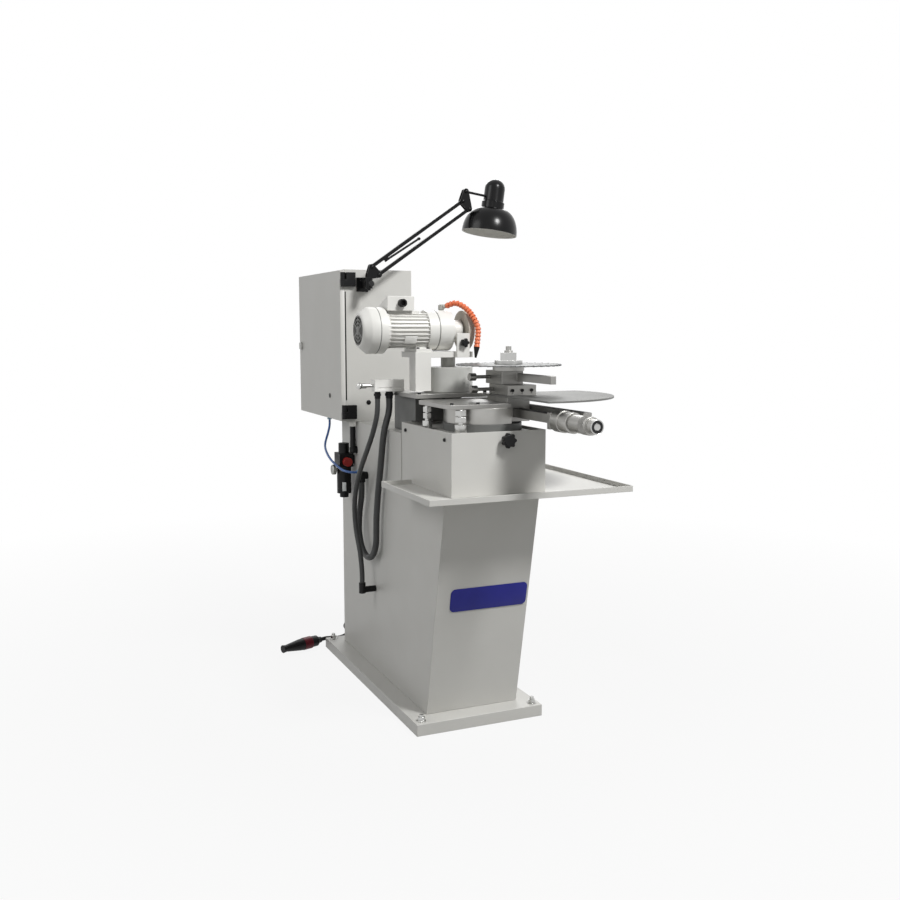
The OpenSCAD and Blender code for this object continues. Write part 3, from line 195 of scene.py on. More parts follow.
# White stove enamel inside the shade spreads the bulb's light.
lamp_white = surface("lamp enamel, white", "#f3f2ee", "#ebe9e3", 0.42, patch=50, grain=1.5, depth=0.02)
# The turret has a thicker grey coat, rubbed down by hand.
turret_paint = surface("turret paint, light grey", "#c3c3bf", "#b6b6b1", 0.4, patch=40, grain=1.6,
                       depth=0.04)
# The same enamel, greyer and duller: painted shade on the grille's bars and in the motor's seams.
painted_shade_enamel = surface("vent enamel, shaded", "#71716e", "#62625f", 0.5, patch=20, grain=1.2, depth=0.03)
print("painted finishes: 8")

# %% [markdown]
# ## Bare metal
#
# Milling and grinding leave fine parallel marks, which is why bare steel shows a streak of light and
# not a round spot. The marks are a noise pattern that is drawn out along one axis. They are drawn about
# three times as coarse as real ones, because finer ones would not show from across a workshop. Steel in
# a workshop has a film of oil and dust, so it is greyer and duller than a polished sample.

# %% Metal finishes
# Its marks run along X, across the slide.
milled_steel = surface("milled steel", "#a3a29f", "#8c8b88", 0.4, 1.0, patch=45, grain=1.5, depth=0.02,
                       spread=0.1, along=(0.06, 1, 1))
# Rolled along Y. Its mill skin is part oxide, so it is a little less than metal.
sheet_steel = surface("rolled sheet steel", "#7d7d7b", "#6f6f6d", 0.5, 0.85, patch=70, grain=1.6,
                      depth=0.02, spread=0.08, along=(1, 0.05, 1))
# A lathe's marks run round an upright axis, so they are drawn out across it and change along it.
turned_steel = surface("turned steel", "#b0afac", "#999894", 0.34, 1.0, patch=60, grain=1.2, depth=0.02,
                       spread=0.1, along=(0.04, 0.04, 1))
# Ground finer than it was milled, and then used: darker, with a soft sheen.
ground_steel = surface("ground steel", "#7a7b7a", "#676867", 0.42, 1.0, patch=35, grain=1.4, depth=0.01,
                       spread=0.1, along=(1, 0.05, 1))
# Bright nickel or chrome plate is the only mirror on the machine.
bright_plate = surface("bright plate", "#c6c6c4", "#b4b4b2", 0.2, 1.0, patch=30, grain=0.9, depth=0.005,
                       spread=0.05)
# Die-cast alloy keeps the mottled skin of its mould.
cast_alloy = surface("cast alloy", "#a3a39d", "#8d8d87", 0.44, 1.0, patch=14, grain=0.9, depth=0.05)
# An electroplated zinc skin has small cloudy patches.
zinc_plate = surface("zinc plate", "#c6cacc", "#b2b7ba", 0.38, metallic=1.0, patch=18, grain=1.0,
                     depth=0.01)
# The skin of anodised alloy is a clear oxide, so it is shaded as a pale coat.
anodised = surface("anodised alloy, white", "#f4f3f0", "#ebeae5", 0.36, patch=30, grain=0.8, depth=0.01)
# Carbide grains are too fine to see, so it is an even grey.
carbide = surface("sintered carbide", "#8a8b8c", "#747576", 0.3, 1.0, patch=4, grain=0.6, depth=0.01)
# Oiled black oxide hides the metal's shine.
black_oxide = surface("black oxide steel", "#19191a", "#0f0f10", 0.42, patch=8, grain=0.6, depth=0.01,
                      gloss=0.3)
print("metal finishes: 10")

# %% [markdown]
# ## Plastic, rubber and abrasive
#
# Moulded plastic takes the grain of its mould. Rubber is duller and darker. The grinding wheel is grit
# held in a fired clay, so it is rough, without gloss, and speckled at the size of its grit.

# %% Plastic, rubber and grit
# Nylon from a spark-eroded mould is evenly matt.
black_plastic = surface("moulded plastic, black", "#111112", "#0a0a0b", 0.44, patch=20, grain=0.8,
                        depth=0.03, gloss=0.22)
# Conduit is a steel spiral under a smooth vinyl sheath.
grey_conduit = surface("conduit sheath, dark grey", "#454646", "#363737", 0.5, patch=25, grain=1.2,
                       depth=0.03, gloss=0.35)
# Rubber hardly shines at all.
black_rubber = surface("cord rubber, black", "#131314", "#0b0b0c", 0.55, patch=25, grain=1.0, depth=0.03,
                       gloss=0.2)
# Drawn polyurethane tube is glossy, and so are the fittings that it is pushed into.
blue_tube = surface("air tube, blue", "#4a74b8", "#3d64a6", 0.3, patch=25, grain=1.5, depth=0.01)
pale_fitting = surface("push fitting, pale blue", "#9fc3d8", "#8fb4ca", 0.34, patch=15, grain=1.0,
                       depth=0.01)
# Coloured mouldings: a bright one on the air knob, a dull one on the plug.
red_plastic = surface("moulded plastic, red", "#a9261f", "#951d18", 0.36, patch=15, grain=0.9, depth=0.02)
plug_red = surface("plug plastic, dark red", "#6e0f22", "#590b1b", 0.42, patch=15, grain=0.9, depth=0.02,
                   gloss=0.25)
# Acetal is slippery and a little waxy.
orange_acetal = surface("acetal links, orange", "#e47b50", "#d4673c", 0.4, patch=12, grain=0.9,
                        depth=0.02)
# Real grit is about a quarter of a millimetre. It is drawn at one millimetre, so that it shows.
vitrified_grit = surface("vitrified grit", "#c9c4ba", "#a19b8f", 0.85, patch=2.0, grain=1.0, depth=0.25,
                         spread=0.05)
# Opal glass and the clear window are the smoothest of all. Both look white with pale things behind them.
opal_glass = surface("opal glass", "#f7f5ee", "#f1efe6", 0.18, patch=30, grain=2.0, depth=0.005,
                     spread=0.03)
sight_glass = surface("sight window", "#eef0ef", "#dfe3e2", 0.16, patch=12, grain=1.5, depth=0.005,
                      spread=0.03)
# Card is flat and matt.
dial_face = surface("dial card, pale grey", "#c9cac8", "#bfc0be", 0.5, patch=10, grain=1.0, depth=0.005)
print("soft finishes: 12")

# %% [markdown]
# ## Edges
#
# No real edge is a perfect corner. A press brake leaves a small radius, a file breaks a machined edge,
# and a moulded part has a draft and a fillet. Each rigid piece is a copy of its solid with its loose
# triangles merged and its edges bevelled, so that every edge catches a line of light. A Bevel modifier
# does this for all edges at once, which no list of chosen edges could do for so many pieces. Edges too
# short for it are merged first, because a bevel folds over itself there. On two pieces with narrow webs
# it is also held back where it would overlap. Where a solid is of several materials, a rule on the place
# of a face says which it has.

# %% Pieces from solids
# The widths of broken edges, in millimetres, from the least to the most rounded.
UNBROKEN, GROUND, THIN, SMALL, FILED = 0, 0.25, 0.4, 0.5, 0.6
MACHINED, PRESSED, ROUNDED, FOLDED, HEAVY = 0.8, 1.0, 1.2, 1.5, 2.0
MERGE, SHORT_EDGE = 0.005, 0.2
FLAT, CORNER = radians(0.6), radians(32)
HELD_BACK = ("air_unit", "lamp_stay")


def make_piece(shape, name, body, finishes, sharp=35):
    """Turns a bmesh into a piece that rides on a body."""
    mesh = bpy.data.meshes.new(name)
    shape.to_mesh(mesh)
    shape.free()
    for finish in finishes:
        mesh.materials.append(finish)
    for face in mesh.polygons:
        face.use_smooth = True
    mesh.set_sharp_from_angle(angle=radians(sharp))
    piece = bpy.data.objects.new(name, mesh)
    bpy.context.scene.collection.objects.link(piece)
    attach(piece, body)
    return piece


def finished(node, finishes, edge, choose=None):
    """A solid with broken edges. Choose picks a face's finish from its centre in mm and its normal."""
    finishes = finishes if isinstance(finishes, list) else [finishes]
    shape = bmesh.new()
    shape.from_mesh(nodes[node].data)
    bmesh.ops.remove_doubles(shape, verts=shape.verts[:], dist=MERGE * MM)
    if edge:
        bmesh.ops.dissolve_limit(shape, angle_limit=FLAT, verts=shape.verts[:], edges=shape.edges[:])
        bmesh.ops.dissolve_degenerate(shape, dist=SHORT_EDGE * MM, edges=shape.edges[:])
    if choose:
        for face in shape.faces:
            face.material_index = int(choose(face.calc_center_median() / MM, face.normal))
    piece = make_piece(shape, node + "_finished", nodes[node]["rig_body"], finishes)
    if edge:
        bevel = piece.modifiers.new("broken edge", "BEVEL")
        bevel.width = edge * MM
        bevel.segments = 2
        bevel.limit_method = "ANGLE"
        bevel.angle_limit = CORNER
        bevel.harden_normals = True
        bevel.use_clamp_overlap = node in HELD_BACK
    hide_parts(node)
    return piece


# %% [markdown]
# ## The leads and hoses
#
# Two grey conduits hang in loops beside the column, a blue air tube runs from the cabinet round to the
# air unit, and the mains lead leaves the back of the column, lies in a coil and ends in its plug. Each
# is a curve through the points of its solid, so it starts square in its gland and hangs where the solid
# hangs. The first conduit has a few more points, to keep its loop round. A round bevel on a curve gives
# the sheath, and keeps the middle line as the cord's own path.

# %% Routes, in millimetres
head_hose_route = [
    (-140, -75, 930), (-140, -75, 918), (-140, -75, 906), (-144, -76, 880),
    (-156, -77, 840), (-163, -75, 790), (-165, -62, 720), (-165, -42, 655),
    (-165, -26, 592), (-165, -17.5, 540), (-165, -15.5, 492), (-165, -9, 459.5),
    (-165, 9.4, 432), (-165, 37, 413.5), (-165, 69.5, 407), (-165, 102, 413.5),
    (-165, 129.6, 432), (-165, 148, 459.5), (-165, 154.5, 492), (-165, 146, 545),
    (-165, 128, 592), (-165, 124, 621), (-165, 124, 633), (-165, 124, 645),
]
motor_hose_route = [
    (-178, -75, 930), (-178, -75, 919), (-178, -75, 908), (-178.5, -73.5, 892),
    (-180, -68, 868), (-184, -44, 820), (-188, -6, 768), (-190, 44, 712),
    (-190, 92, 652), (-190, 120, 590), (-190, 122, 530), (-190, 102, 474),
    (-190, 72, 425), (-190, 56, 374), (-190, 53, 350), (-190, 53, 339),
    (-190, 53, 328),
]
air_tube_route = [
    (-165, 470, 822), (-165, 470, 814), (-165, 470, 806), (-166.5, 469.5, 795),
    (-170, 467.5, 783), (-175.5, 462.5, 769), (-183, 453, 756), (-191, 438, 745),
    (-199, 417, 736), (-206, 390, 728), (-212, 356, 719), (-216, 318, 708.5),
    (-216.5, 280, 698), (-213.5, 248, 689.5), (-209.5, 224, 682.5), (-205.8, 204.7, 677.5),
    (-202.2, 196, 675.5), (-196.5, 188.5, 673.5), (-189, 182.8, 671.8), (-180.3, 179.2, 670.5),
    (-171, 178, 670), (-167, 178, 670), (-163, 178, 670),
]
cord_lead_route = [
    (102, 418, 110), (102, 424, 110), (102, 430, 110), (102, 438, 109.4),
    (102, 448, 107), (102, 459, 102), (102, 469, 94), (102, 478, 83),
    (102, 486.5, 67.5), (102, 494.5, 52), (102, 502, 36.4), (102, 511.4, 23.9),
    (102, 523, 15), (102, 536.5, 9.4), (102, 546, 7.6), (102, 551, 7.5),
    (102, 556, 7.5),
]
cord_tail_route = [
    (-82, 556, 22.5), (-82, 552, 22.5), (-82, 548, 22.5), (-83, 538, 22.2),
    (-86, 526.5, 21.3), (-93, 514.5, 19.5), (-102.5, 504.3, 17.5), (-114, 497, 15.8),
    (-129, 491.5, 14.5), (-146, 487, 14.8), (-163, 483.2, 17.4), (-174, 480.9, 19.8),
    (-184, 478.2, 21.4), (-194, 474.8, 22), (-202, 471.9, 22), (-210, 469, 22),
]
routes = (head_hose_route, motor_hose_route, air_tube_route, cord_lead_route, cord_tail_route)
print("route points:", [len(route) for route in routes])


def smooth_line(points, steps=2):
    """Points on a smooth line through the chosen ones, in metres."""
    chosen = [Vector(p) * MM for p in points]
    last = len(chosen) - 1
    line = []
    for i in range(last):
        a, b, c, d = (chosen[min(max(i + k, 0), last)] for k in (-1, 0, 1, 2))
        for step in range(steps):
            t = step / steps
            square = 2 * a - 5 * b + 4 * c - d
            cube = 3 * b - a - 3 * c + d
            line.append(0.5 * (2 * b + (c - a) * t + square * t**2 + cube * t**3))
    return line + [chosen[last]]


def lay_cord(name, line, diameter, finish, replaced):
    """A round curve along a line, in place of its solids."""
    data = bpy.data.curves.new(name, "CURVE")
    data.dimensions = "3D"
    data.bevel_depth = diameter / 2
    data.bevel_resolution = 5
    data.use_fill_caps = True
    data.materials.append(finish)
    strand = data.splines.new("POLY")
    strand.points.add(len(line) - 1)
    for point, place in zip(strand.points, line):
        point.co = (*place, 1)
    strand.use_smooth = True
    piece = bpy.data.objects.new(name, data)
    bpy.context.scene.collection.objects.link(piece)
    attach(piece, "stand")
    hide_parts(*replaced)


# %% [markdown]
# ## The coil and the plug
#
# The mains lead is one unbroken curve: down from its gland, two turns in, half a turn up to the next
# layer, two turns out again, and off to the plug. The coil is a formula, so its turns lie a steady step
# apart. The plug is moulded in black with a dark red collar, which is found by its distance along the
# plug.

# %% The coil of the mains lead and its plug
LEAD_D = 14
COIL_STEP = LEAD_D + 3
COIL_LAYER = LEAD_D + 1
COIL_OUTER = 92
TURNS_IN = 2
CLIMB = 0.5
TURNS = 2 * TURNS_IN + CLIMB
PER_TURN = 24
LEAD_X, COIL_Y = 102, 570
COIL_CENTRE = (LEAD_X - COIL_OUTER, COIL_Y)
COIL_LOW = 7.5
INSIDE_PLUG = (14, 28, 42)
COLLAR_START, COLLAR_END = 45.5, 80.5


def coil_point(t):
    """A place on the coil after t turns."""
    inward = t if t < TURNS_IN else TURNS_IN if t < TURNS_IN + CLIMB else TURNS - t
    radius = COIL_OUTER - COIL_STEP * inward
    rise = COIL_LAYER * min(max((t - TURNS_IN) / CLIMB, 0), 1)
    turn = 2 * pi * t
    return (COIL_CENTRE[0] + radius * cos(turn), COIL_CENTRE[1] + radius * sin(turn), COIL_LOW + rise)


coil = [coil_point(i / PER_TURN) for i in range(int(TURNS * PER_TURN) + 1)]
plug_at = Vector(cord_tail_route[-1])
plug_way = (plug_at - Vector(cord_tail_route[-2])).normalized()
into_plug = [plug_at + reach * plug_way for reach in INSIDE_PLUG]
mains_line = smooth_line(cord_lead_route[:-1] + coil + cord_tail_route[1:] + into_plug)
plug = finished("mains_plug", [black_plastic, plug_red], MACHINED,
                lambda p, n: COLLAR_START < (p - plug_at).dot(plug_way) < COLLAR_END)
print("turns of the coil:", TURNS)

# %% The four leads
HEAD_CONDUIT_D, MOTOR_CONDUIT_D, AIR_LINE_D = 20, 16, 8
lay_cord("head_conduit", smooth_line(head_hose_route), HEAD_CONDUIT_D * MM, grey_conduit, ["head_hose"])
lay_cord("motor_conduit", smooth_line(motor_hose_route), MOTOR_CONDUIT_D * MM, grey_conduit,
         ["motor_hose"])
lay_cord("air_line", smooth_line(air_tube_route), AIR_LINE_D * MM, blue_tube, ["air_tube"])
lay_cord("mains_lead", mains_line, LEAD_D * MM, black_rubber, ["cord_lead", "cord_coil", "cord_tail"])

# %% [markdown]
# ## The stand and the cabinet
#
# The plinth, column, tray and cabinet are folded steel under one powder coat, so their bends are round
# and larger than a filed edge. The door's hinge knuckles are black, and lie in front of the cabinet's
# face. They are one solid with the door, so a rule on the place of a face picks them out, which needs
# no cut.

# %% Stand and cabinet
HINGE_FRONT = 218.5
BOARD_FACE, BREAKERS_LOW, DRIVE_BACK = 31.5, 1100, 400


def gear_kind(p, n):
    """Zinc for the board, then one finish each for the breakers, the drive and the terminals."""
    if p.x > BOARD_FACE:
        return 0
    if p.z > BREAKERS_LOW:
        return 1
    return 2 if p.y < DRIVE_BACK else 3


folded_steel = [("base_plate", HEAVY), ("column", FOLDED), ("chip_tray", PRESSED), ("table_box", ROUNDED),
                ("cabinet_body", PRESSED)]
for node, edge in folded_steel:
    finished(node, powder_coat, edge)
finished("cabinet_door", [powder_coat, black_plastic], MACHINED, lambda p, n: p.y < HINGE_FRONT)
finished("levelling_screws", bright_plate, FILED)
finished("turntable_base", iron_paint, ROUNDED)
finished("jack_studs", bright_plate, MACHINED)
finished("head_support", iron_paint, ROUNDED)
finished("hinge_blocks", black_plastic, ROUNDED)
finished("control_gear", [zinc_plate, black_plastic, iron_paint, dial_face], MACHINED, gear_kind)
finished("door_lock", bright_plate, FILED)
print("powder coated:", len(folded_steel) + 1)

# %% [markdown]
# ## The slide and the blade
#
# The table, rail and saddle are milled, the screw and its sleeve are turned, and the large plate under
# the blade is plain rolled sheet, which is duller. The upper faces of the rail and of the bar beside it
# are black oxide, which stands for a black cover and for the shade that the plate above casts on them.
# The teeth of the blade are part of its solid, so its bevel is kept very small.

# %% Slide and blade
RAIL_COVER_AND_SHADE_TOP = 915
FACES_UP = 0.9
milled = ("bed_plate", "saddle", "arbor_block", "index_block", "head_base")
turned = ("turntable", "arbor", "screw_sleeve", "thimble", "lead_screw")
for node in milled:
    finished(node, milled_steel, MACHINED)
# The rail's upper faces are black oxide: partly a black cover, partly painted shade from the plate above.
finished("slide_rail", [milled_steel, black_oxide], MACHINED,
         lambda p, n: n.z > FACES_UP and p.z > RAIL_COVER_AND_SHADE_TOP)
finished("guard_plate", sheet_steel, FILED)
for node in turned:
    finished(node, turned_steel, MACHINED)
finished("turret", turret_paint, ROUNDED)
finished("saw_blade", ground_steel, GROUND)
finished("blade_clamp", bright_plate, FILED)
finished("turntable_knob", black_plastic, ROUNDED)
finished("guard_knob", black_plastic, FILED)
print("milled:", len(milled) + 1, "turned:", len(turned))

# %% [markdown]
# ## The head
#
# The motor's frame, cover and terminal box have one coat of white enamel. The cover's round grille is
# seen in shadow, with the fan behind it, so its bars have a darker coat and its edges are left as they
# are, because the bars are too thin for a bevel.

# %% Head
# The motor's axis runs along X.
AXIS_Y, AXIS_Z = -145, 1136.3
GRILLE_X, GRILLE_R = -258, 44.5
GRIT_RIGHT = 88.2
BOX_FRONT = -185.2
FAN_RIGHT = -195


def from_axis(p):
    """How far a place is from the motor's axis."""
    return ((p.y - AXIS_Y) ** 2 + (p.z - AXIS_Z) ** 2) ** 0.5


for node in ("head_plate", "motor_body", "wheel_guard"):
    finished(node, machine_enamel, MACHINED)
# The grille's bars lie in shadow with the fan behind them, so they get the painted shade enamel.
finished("fan_cover", [machine_enamel, painted_shade_enamel], UNBROKEN,
         lambda p, n: p.x < GRILLE_X and from_axis(p) < GRILLE_R)
finished("terminal_box", [machine_enamel, black_plastic], ROUNDED, lambda p, n: p.y < BOX_FRONT)
finished("motor_rotor", [turned_steel, black_plastic], SMALL, lambda p, n: p.x < FAN_RIGHT)
finished("grinding_wheel", [vitrified_grit, turned_steel], FILED, lambda p, n: p.x > GRIT_RIGHT)
finished("coolant_nozzle", [cast_alloy, black_plastic], SMALL, lambda p, n: p.z < AXIS_Z)
print("motor axis at y", AXIS_Y, "and z", AXIS_Z, "mm")

# %% [markdown]
# ## The air gear and the glands
#
# Glands and the air unit are black mouldings. The two push fittings of the blue tube are pale blue.
# They are in one group with the glands, and are told from them by their distance from the tube's ends.

# %% Air gear
PUSH_FITTINGS = [Vector((-158, 178, 670)), Vector((-165, 470, 828))]
FITTING_REACH = 16
finished("air_unit", black_plastic, ROUNDED)
finished("air_knob", red_plastic, MACHINED)
finished("air_cylinder", anodised, MACHINED)
finished("piston_rod", bright_plate, THIN)
finished("hose_glands", [black_plastic, pale_fitting], FILED,
         lambda p, n: any((p - fitting).length < FITTING_REACH for fitting in PUSH_FITTINGS))
print("push fittings:", len(PUSH_FITTINGS))

# %% [markdown]
# ## The lamp
#
# The lamp is lacquered black, and its shade is white inside, which throws the light down. A face of the
# shade is an inner one when it looks towards the middle of the rim. The bulb below the socket is opal
# glass.

# %% Lamp
LEAN = radians(8)
SHADE_H = 82
BULB_TOP = SHADE_H - 0.2
lamp_axis = Vector((sin(LEAN), 0, cos(LEAN)))
rim_middle = Vector((305.8, 150, 1460.2))
for node in ("lamp_clamp", "lamp_post", "lamp_arm", "lamp_stay", "lamp_link", "lamp_knuckle"):
    finished(node, lacquer, FILED)
finished("lamp_shade", [lacquer, lamp_white], THIN, lambda p, n: n.dot(p - rim_middle) < 0)
finished("lamp_socket", [lacquer, opal_glass], FILED,
         lambda p, n: (p - rim_middle).dot(lamp_axis) < BULB_TOP)
print("dressed solids:", len(nodes))

# %% [markdown]
# ## Small turned parts
#
# Screws, plugs, dials and hose links are all turned or moulded round an axis. Each is a profile of a
# few points, spun round Z, and then laid along the axis that it has on the machine. A stock cylinder
# would do for none of them, because a profile gives the chamfers and recesses too.

# %% Turned shapes and blocks
SPUN_MERGE = 0.01


def spun(profile, steps=24, dark_from=None):
    """A turned shape about Z from (radius, height) pairs. Faces inside dark_from get the second finish."""
    shape = bmesh.new()
    ring = [shape.verts.new((r * MM, 0, z * MM)) for r, z in profile]
    edges = [shape.edges.new(pair) for pair in zip(ring, ring[1:])]
    bmesh.ops.spin(shape, geom=ring + edges, axis=(0, 0, 1), angle=2 * pi, steps=steps, use_merge=True)
    bmesh.ops.remove_doubles(shape, verts=shape.verts[:], dist=SPUN_MERGE * MM)
    bmesh.ops.recalc_face_normals(shape, faces=shape.faces[:])
    if dark_from is not None:
        for face in shape.faces:
            face.material_index = int(face.calc_center_median().xy.length < dark_from * MM)
    return shape


def placed(shape, at, axis=(0, 0, 1)):
    """Turns a shape's own Z to an axis and moves it to a place in millimetres."""
    turn = Vector((0, 0, 1)).rotation_difference(Vector(axis)).to_matrix().to_4x4()
    bmesh.ops.transform(shape, matrix=Matrix.Translation(Vector(at) * MM) @ turn, verts=shape.verts[:])
    return shape


def block(low, high, edge):
    """A block between two corners in millimetres, with its edges bevelled."""
    shape = bmesh.new()
    bmesh.ops.create_cube(shape, size=1)
    low, high = Vector(low) * MM, Vector(high) * MM
    bmesh.ops.scale(shape, vec=high - low, verts=shape.verts[:])
    bmesh.ops.translate(shape, vec=(low + high) / 2, verts=shape.verts[:])
    bmesh.ops.bevel(shape, geom=shape.edges[:], offset=edge * MM, offset_type="OFFSET", segments=2,
                    profile=0.5, affect="EDGES", material=-1)
    return shape


def gather(shapes):
    """Joins several shapes into one."""
    whole = bmesh.new()
    for shape in shapes:
        mesh = bpy.data.meshes.new("joined")
        shape.to_mesh(mesh)
        shape.free()
        whole.from_mesh(mesh)
        bpy.data.meshes.remove(mesh)
    return whole


def cap_screw(r, at, axis):
    """A socket cap screw's head, with painted shade on its socket's floor. Its sizes are shares of its
    radius.
    """
    profile = [(0, -0.5), (r, -0.5), (r, 0.8 * r), (0.86 * r, r)]
    profile += [(0.52 * r, r), (0.5 * r, 0.4 * r), (0, 0.4 * r)]
    return placed(spun(profile, 20, 0.5 * r), at, axis)


# %% [markdown]
# ## The coolant hose
#
# The hose is a chain of moulded orange links. Each link is a ball in the cup of the next, so the hose
# can be bent by hand and then stays. The links follow the path of the solid, one cup after another, and
# every cup flares out and is cut square at its mouth. A row of separate links shows the steps between
# them, which a ribbed tube would round off.

# %% Orange hose links
HOSE_LINKS = 19
SPIGOT, STRAIGHT = 14.3, (0, 6, 12)
PATH_STEPS, LINK_STEPS, LINK_SHARP = 12, 20, 50
hose_way = Vector((0.75, -0.6, 0.28)).normalized()
hose_exit = Vector((3, 0, 69))
hose_drop = [(41, -27, 82), (68, -45, 64), (82, -67, 35), (90, -77, 7), (86, -83, -27),
             (84, -84.3, -38), (83, -85, -43.7), (82, -85.7, -49.4)]
hose_points = [hose_exit + (SPIGOT + out) * hose_way for out in STRAIGHT]
hose_points += [Vector(p) for p in hose_drop]
hose_line = smooth_line([p + Vector((0, AXIS_Y, AXIS_Z)) for p in hose_points], PATH_STEPS)
hose_reach = [0.0]
for a, b in zip(hose_line, hose_line[1:]):
    hose_reach.append(hose_reach[-1] + (b - a).length / MM)


def hose_at(reach):
    """The place on the hose's path at a distance from its start, in millimetres."""
    i = next((k for k, end in enumerate(hose_reach) if end >= reach), len(hose_reach) - 1)
    i = max(i, 1)
    share = (reach - hose_reach[i - 1]) / (hose_reach[i] - hose_reach[i - 1])
    return hose_line[i - 1].lerp(hose_line[i], share) / MM


link_len = hose_reach[-1] / HOSE_LINKS
# Radius in millimetres, and height as a share of the link's length.
link_profile = [(3.6, 0), (6.0, 0), (7.2, 0.18), (7.4, 0.3), (8.2, 0.42), (9.0, 0.74), (9.0, 0.98),
                (8.2, 1.0), (6.6, 0.96), (3.6, 0.9), (3.6, 0)]
link_shapes = []
for i in range(HOSE_LINKS):
    start_at, end_at = hose_at(i * link_len), hose_at((i + 1) * link_len)
    shape = spun([(r, z * link_len) for r, z in link_profile], LINK_STEPS)
    link_shapes.append(placed(shape, start_at, end_at - start_at))
hose_links = make_piece(gather(link_shapes), "coolant_hose_links", "head", [orange_acetal], LINK_SHARP)
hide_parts("coolant_hose")
print("hose links:", HOSE_LINKS, "of", round(link_len, 1), "mm")

# %% [markdown]
# ## The plate on the column
#
# A thin enamelled plate with rounded corners stands on the front of the column, plain blue. It is a
# copy of its solid: the four short edges through its thickness get a wide bevel, which rounds the
# corners, and then its rims get a fine one. In the other order the wide bevel would cut the fine one.

# %% Plain plate
PLATE_CORNER, PLATE_RIM, PLATE_THICK = 14, 0.4, 3
PLATE_FLAT, RIM_ANGLE = radians(1), radians(60)
plate_shape = bmesh.new()
plate_shape.from_mesh(nodes["name_plate"].data)
bmesh.ops.remove_doubles(plate_shape, verts=plate_shape.verts[:], dist=MERGE * MM)
bmesh.ops.dissolve_limit(plate_shape, angle_limit=PLATE_FLAT, verts=plate_shape.verts[:],
                         edges=plate_shape.edges[:])
corners = [edge for edge in plate_shape.edges if edge.calc_length() < PLATE_THICK * MM]
bmesh.ops.bevel(plate_shape, geom=corners, offset=PLATE_CORNER * MM, offset_type="OFFSET", segments=8,
                profile=0.5, affect="EDGES", material=-1)
rims = [edge for edge in plate_shape.edges if edge.calc_face_angle(0) > RIM_ANGLE]
bmesh.ops.bevel(plate_shape, geom=rims, offset=PLATE_RIM * MM, offset_type="OFFSET", segments=2,
                profile=0.5, affect="EDGES", material=-1)
plain_plate = make_piece(plate_shape, "plain_plate", "stand", [plate_enamel])
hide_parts("name_plate")
print("plate corners:", len(corners))

# %% [markdown]
# ## Screws, plugs and the door's seal
#
# Socket cap screws hold the plates of the slide and the head, and the floor of each socket is painted a
# darker black as shade in the hollow. A strip of black rubber along the door's hinge side stands for its
# seal and for the shade in the gap beside it, and two black plugs close spare holes in the cabinet. Screws
# that ride on one body are one piece, since they never move against each other.

# %% Screws on the plates
UP, LEFT, FRONT, BACK, RIGHT = (0, 0, 1), (-1, 0, 0), (0, -1, 0), (0, 1, 0), (1, 0, 0)
LID_UP = (0, 0.381, 0.925)
lid_rows = ((-119.2, 1211.7), (-170.8, 1232.9))
# Each screw is its head's radius, its place and its axis.
screw_rows = {
    "stand": [(5, (-142, -220.6, 846), LEFT), (5, (-142, -509.3, 846), LEFT)]
    + [(5.5, (x, y, 952), UP) for x in (-112, 100) for y in (-250, -52)],
    "turntable": [(5, (x, y, 937.3), UP) for x in (-112, -34) for y in (-486, -250)],
    "carriage": [(4.5, (x, -470, 971), FRONT) for x in (80, 110, 140)],
    "head": [(3, (x, y, z), LID_UP) for x in (-176, -108) for y, z in lid_rows]
    + [(4.5, (x, y, 1082.3), UP) for x in (-90, -58) for y in (-188, -102)],
}
# The second finish, the darker black, is painted shade on each socket's floor.
for body, row in screw_rows.items():
    heads = gather([cap_screw(r, at, axis) for r, at, axis in row])
    piece = make_piece(heads, "cap_screws_" + body, body, [black_oxide, black_rubber])
print("cap screws:", sum(len(row) for row in screw_rows.values()))

# %% Seal and plugs
# The black strip is the door's seal and also painted shade in the gap beside the hinge.
SEAL_LOW, SEAL_HIGH = (-184, 218.2, 906), (-180.2, 219.6, 1262)
seal = make_piece(block(SEAL_LOW, SEAL_HIGH, THIN), "door_seal", "stand", [black_rubber])
plug_profile = [(0, -0.5), (8, -0.5), (8, 1.2), (6.8, 2.2), (3, 2.6), (0, 2.7)]
for name, at, axis, body in (("door_plug", (-200, 346, 915), LEFT, "door"),
                             ("panel_plug", (-105, 219, 897), FRONT, "stand")):
    stopper = make_piece(placed(spun(plug_profile), at, axis), name, body, [black_plastic])
print("seal length:", SEAL_HIGH[2] - SEAL_LOW[2], "mm")

# %% [markdown]
# ## The feed thimble
#
# The thimble is turned by hand, so its front has a straight knurl, made by pushing every second row of
# a turned sleeve inwards. Graduations stand round its back edge: thin dark bars ten degrees apart, with
# a longer one at every fifth. They are geometry and not a pattern, so they stay in the exported mesh.

# %% Knurl and end cap
SCREW_X, SCREW_HEIGHT = 100, 904.3
THIMBLE_R, THIMBLE_FRONT, THIMBLE_BACK = 23, -860.3, -775.3
KNURLS = 60
GRIP_FOOT, GRIP_VALLEY, GRIP_CREST = THIMBLE_R - 0.4, THIMBLE_R - 0.2, THIMBLE_R + 0.9
GRIP_LEN, GRIP_CHAMFER, GRIP_BACK, CAP_AHEAD = 28, 0.8, 34, 23
KNURL_SHARP = 20
grip_profile = [(GRIP_FOOT, 0), (GRIP_CREST, GRIP_CHAMFER), (GRIP_CREST, GRIP_LEN - GRIP_CHAMFER),
                (GRIP_FOOT, GRIP_LEN)]
grip = spun(grip_profile + grip_profile[:1], 2 * KNURLS)
for vert in grip.verts:
    step = round(atan2(vert.co.y, vert.co.x) / (pi / KNURLS))
    if step % 2:
        vert.co.xy *= GRIP_VALLEY / GRIP_CREST
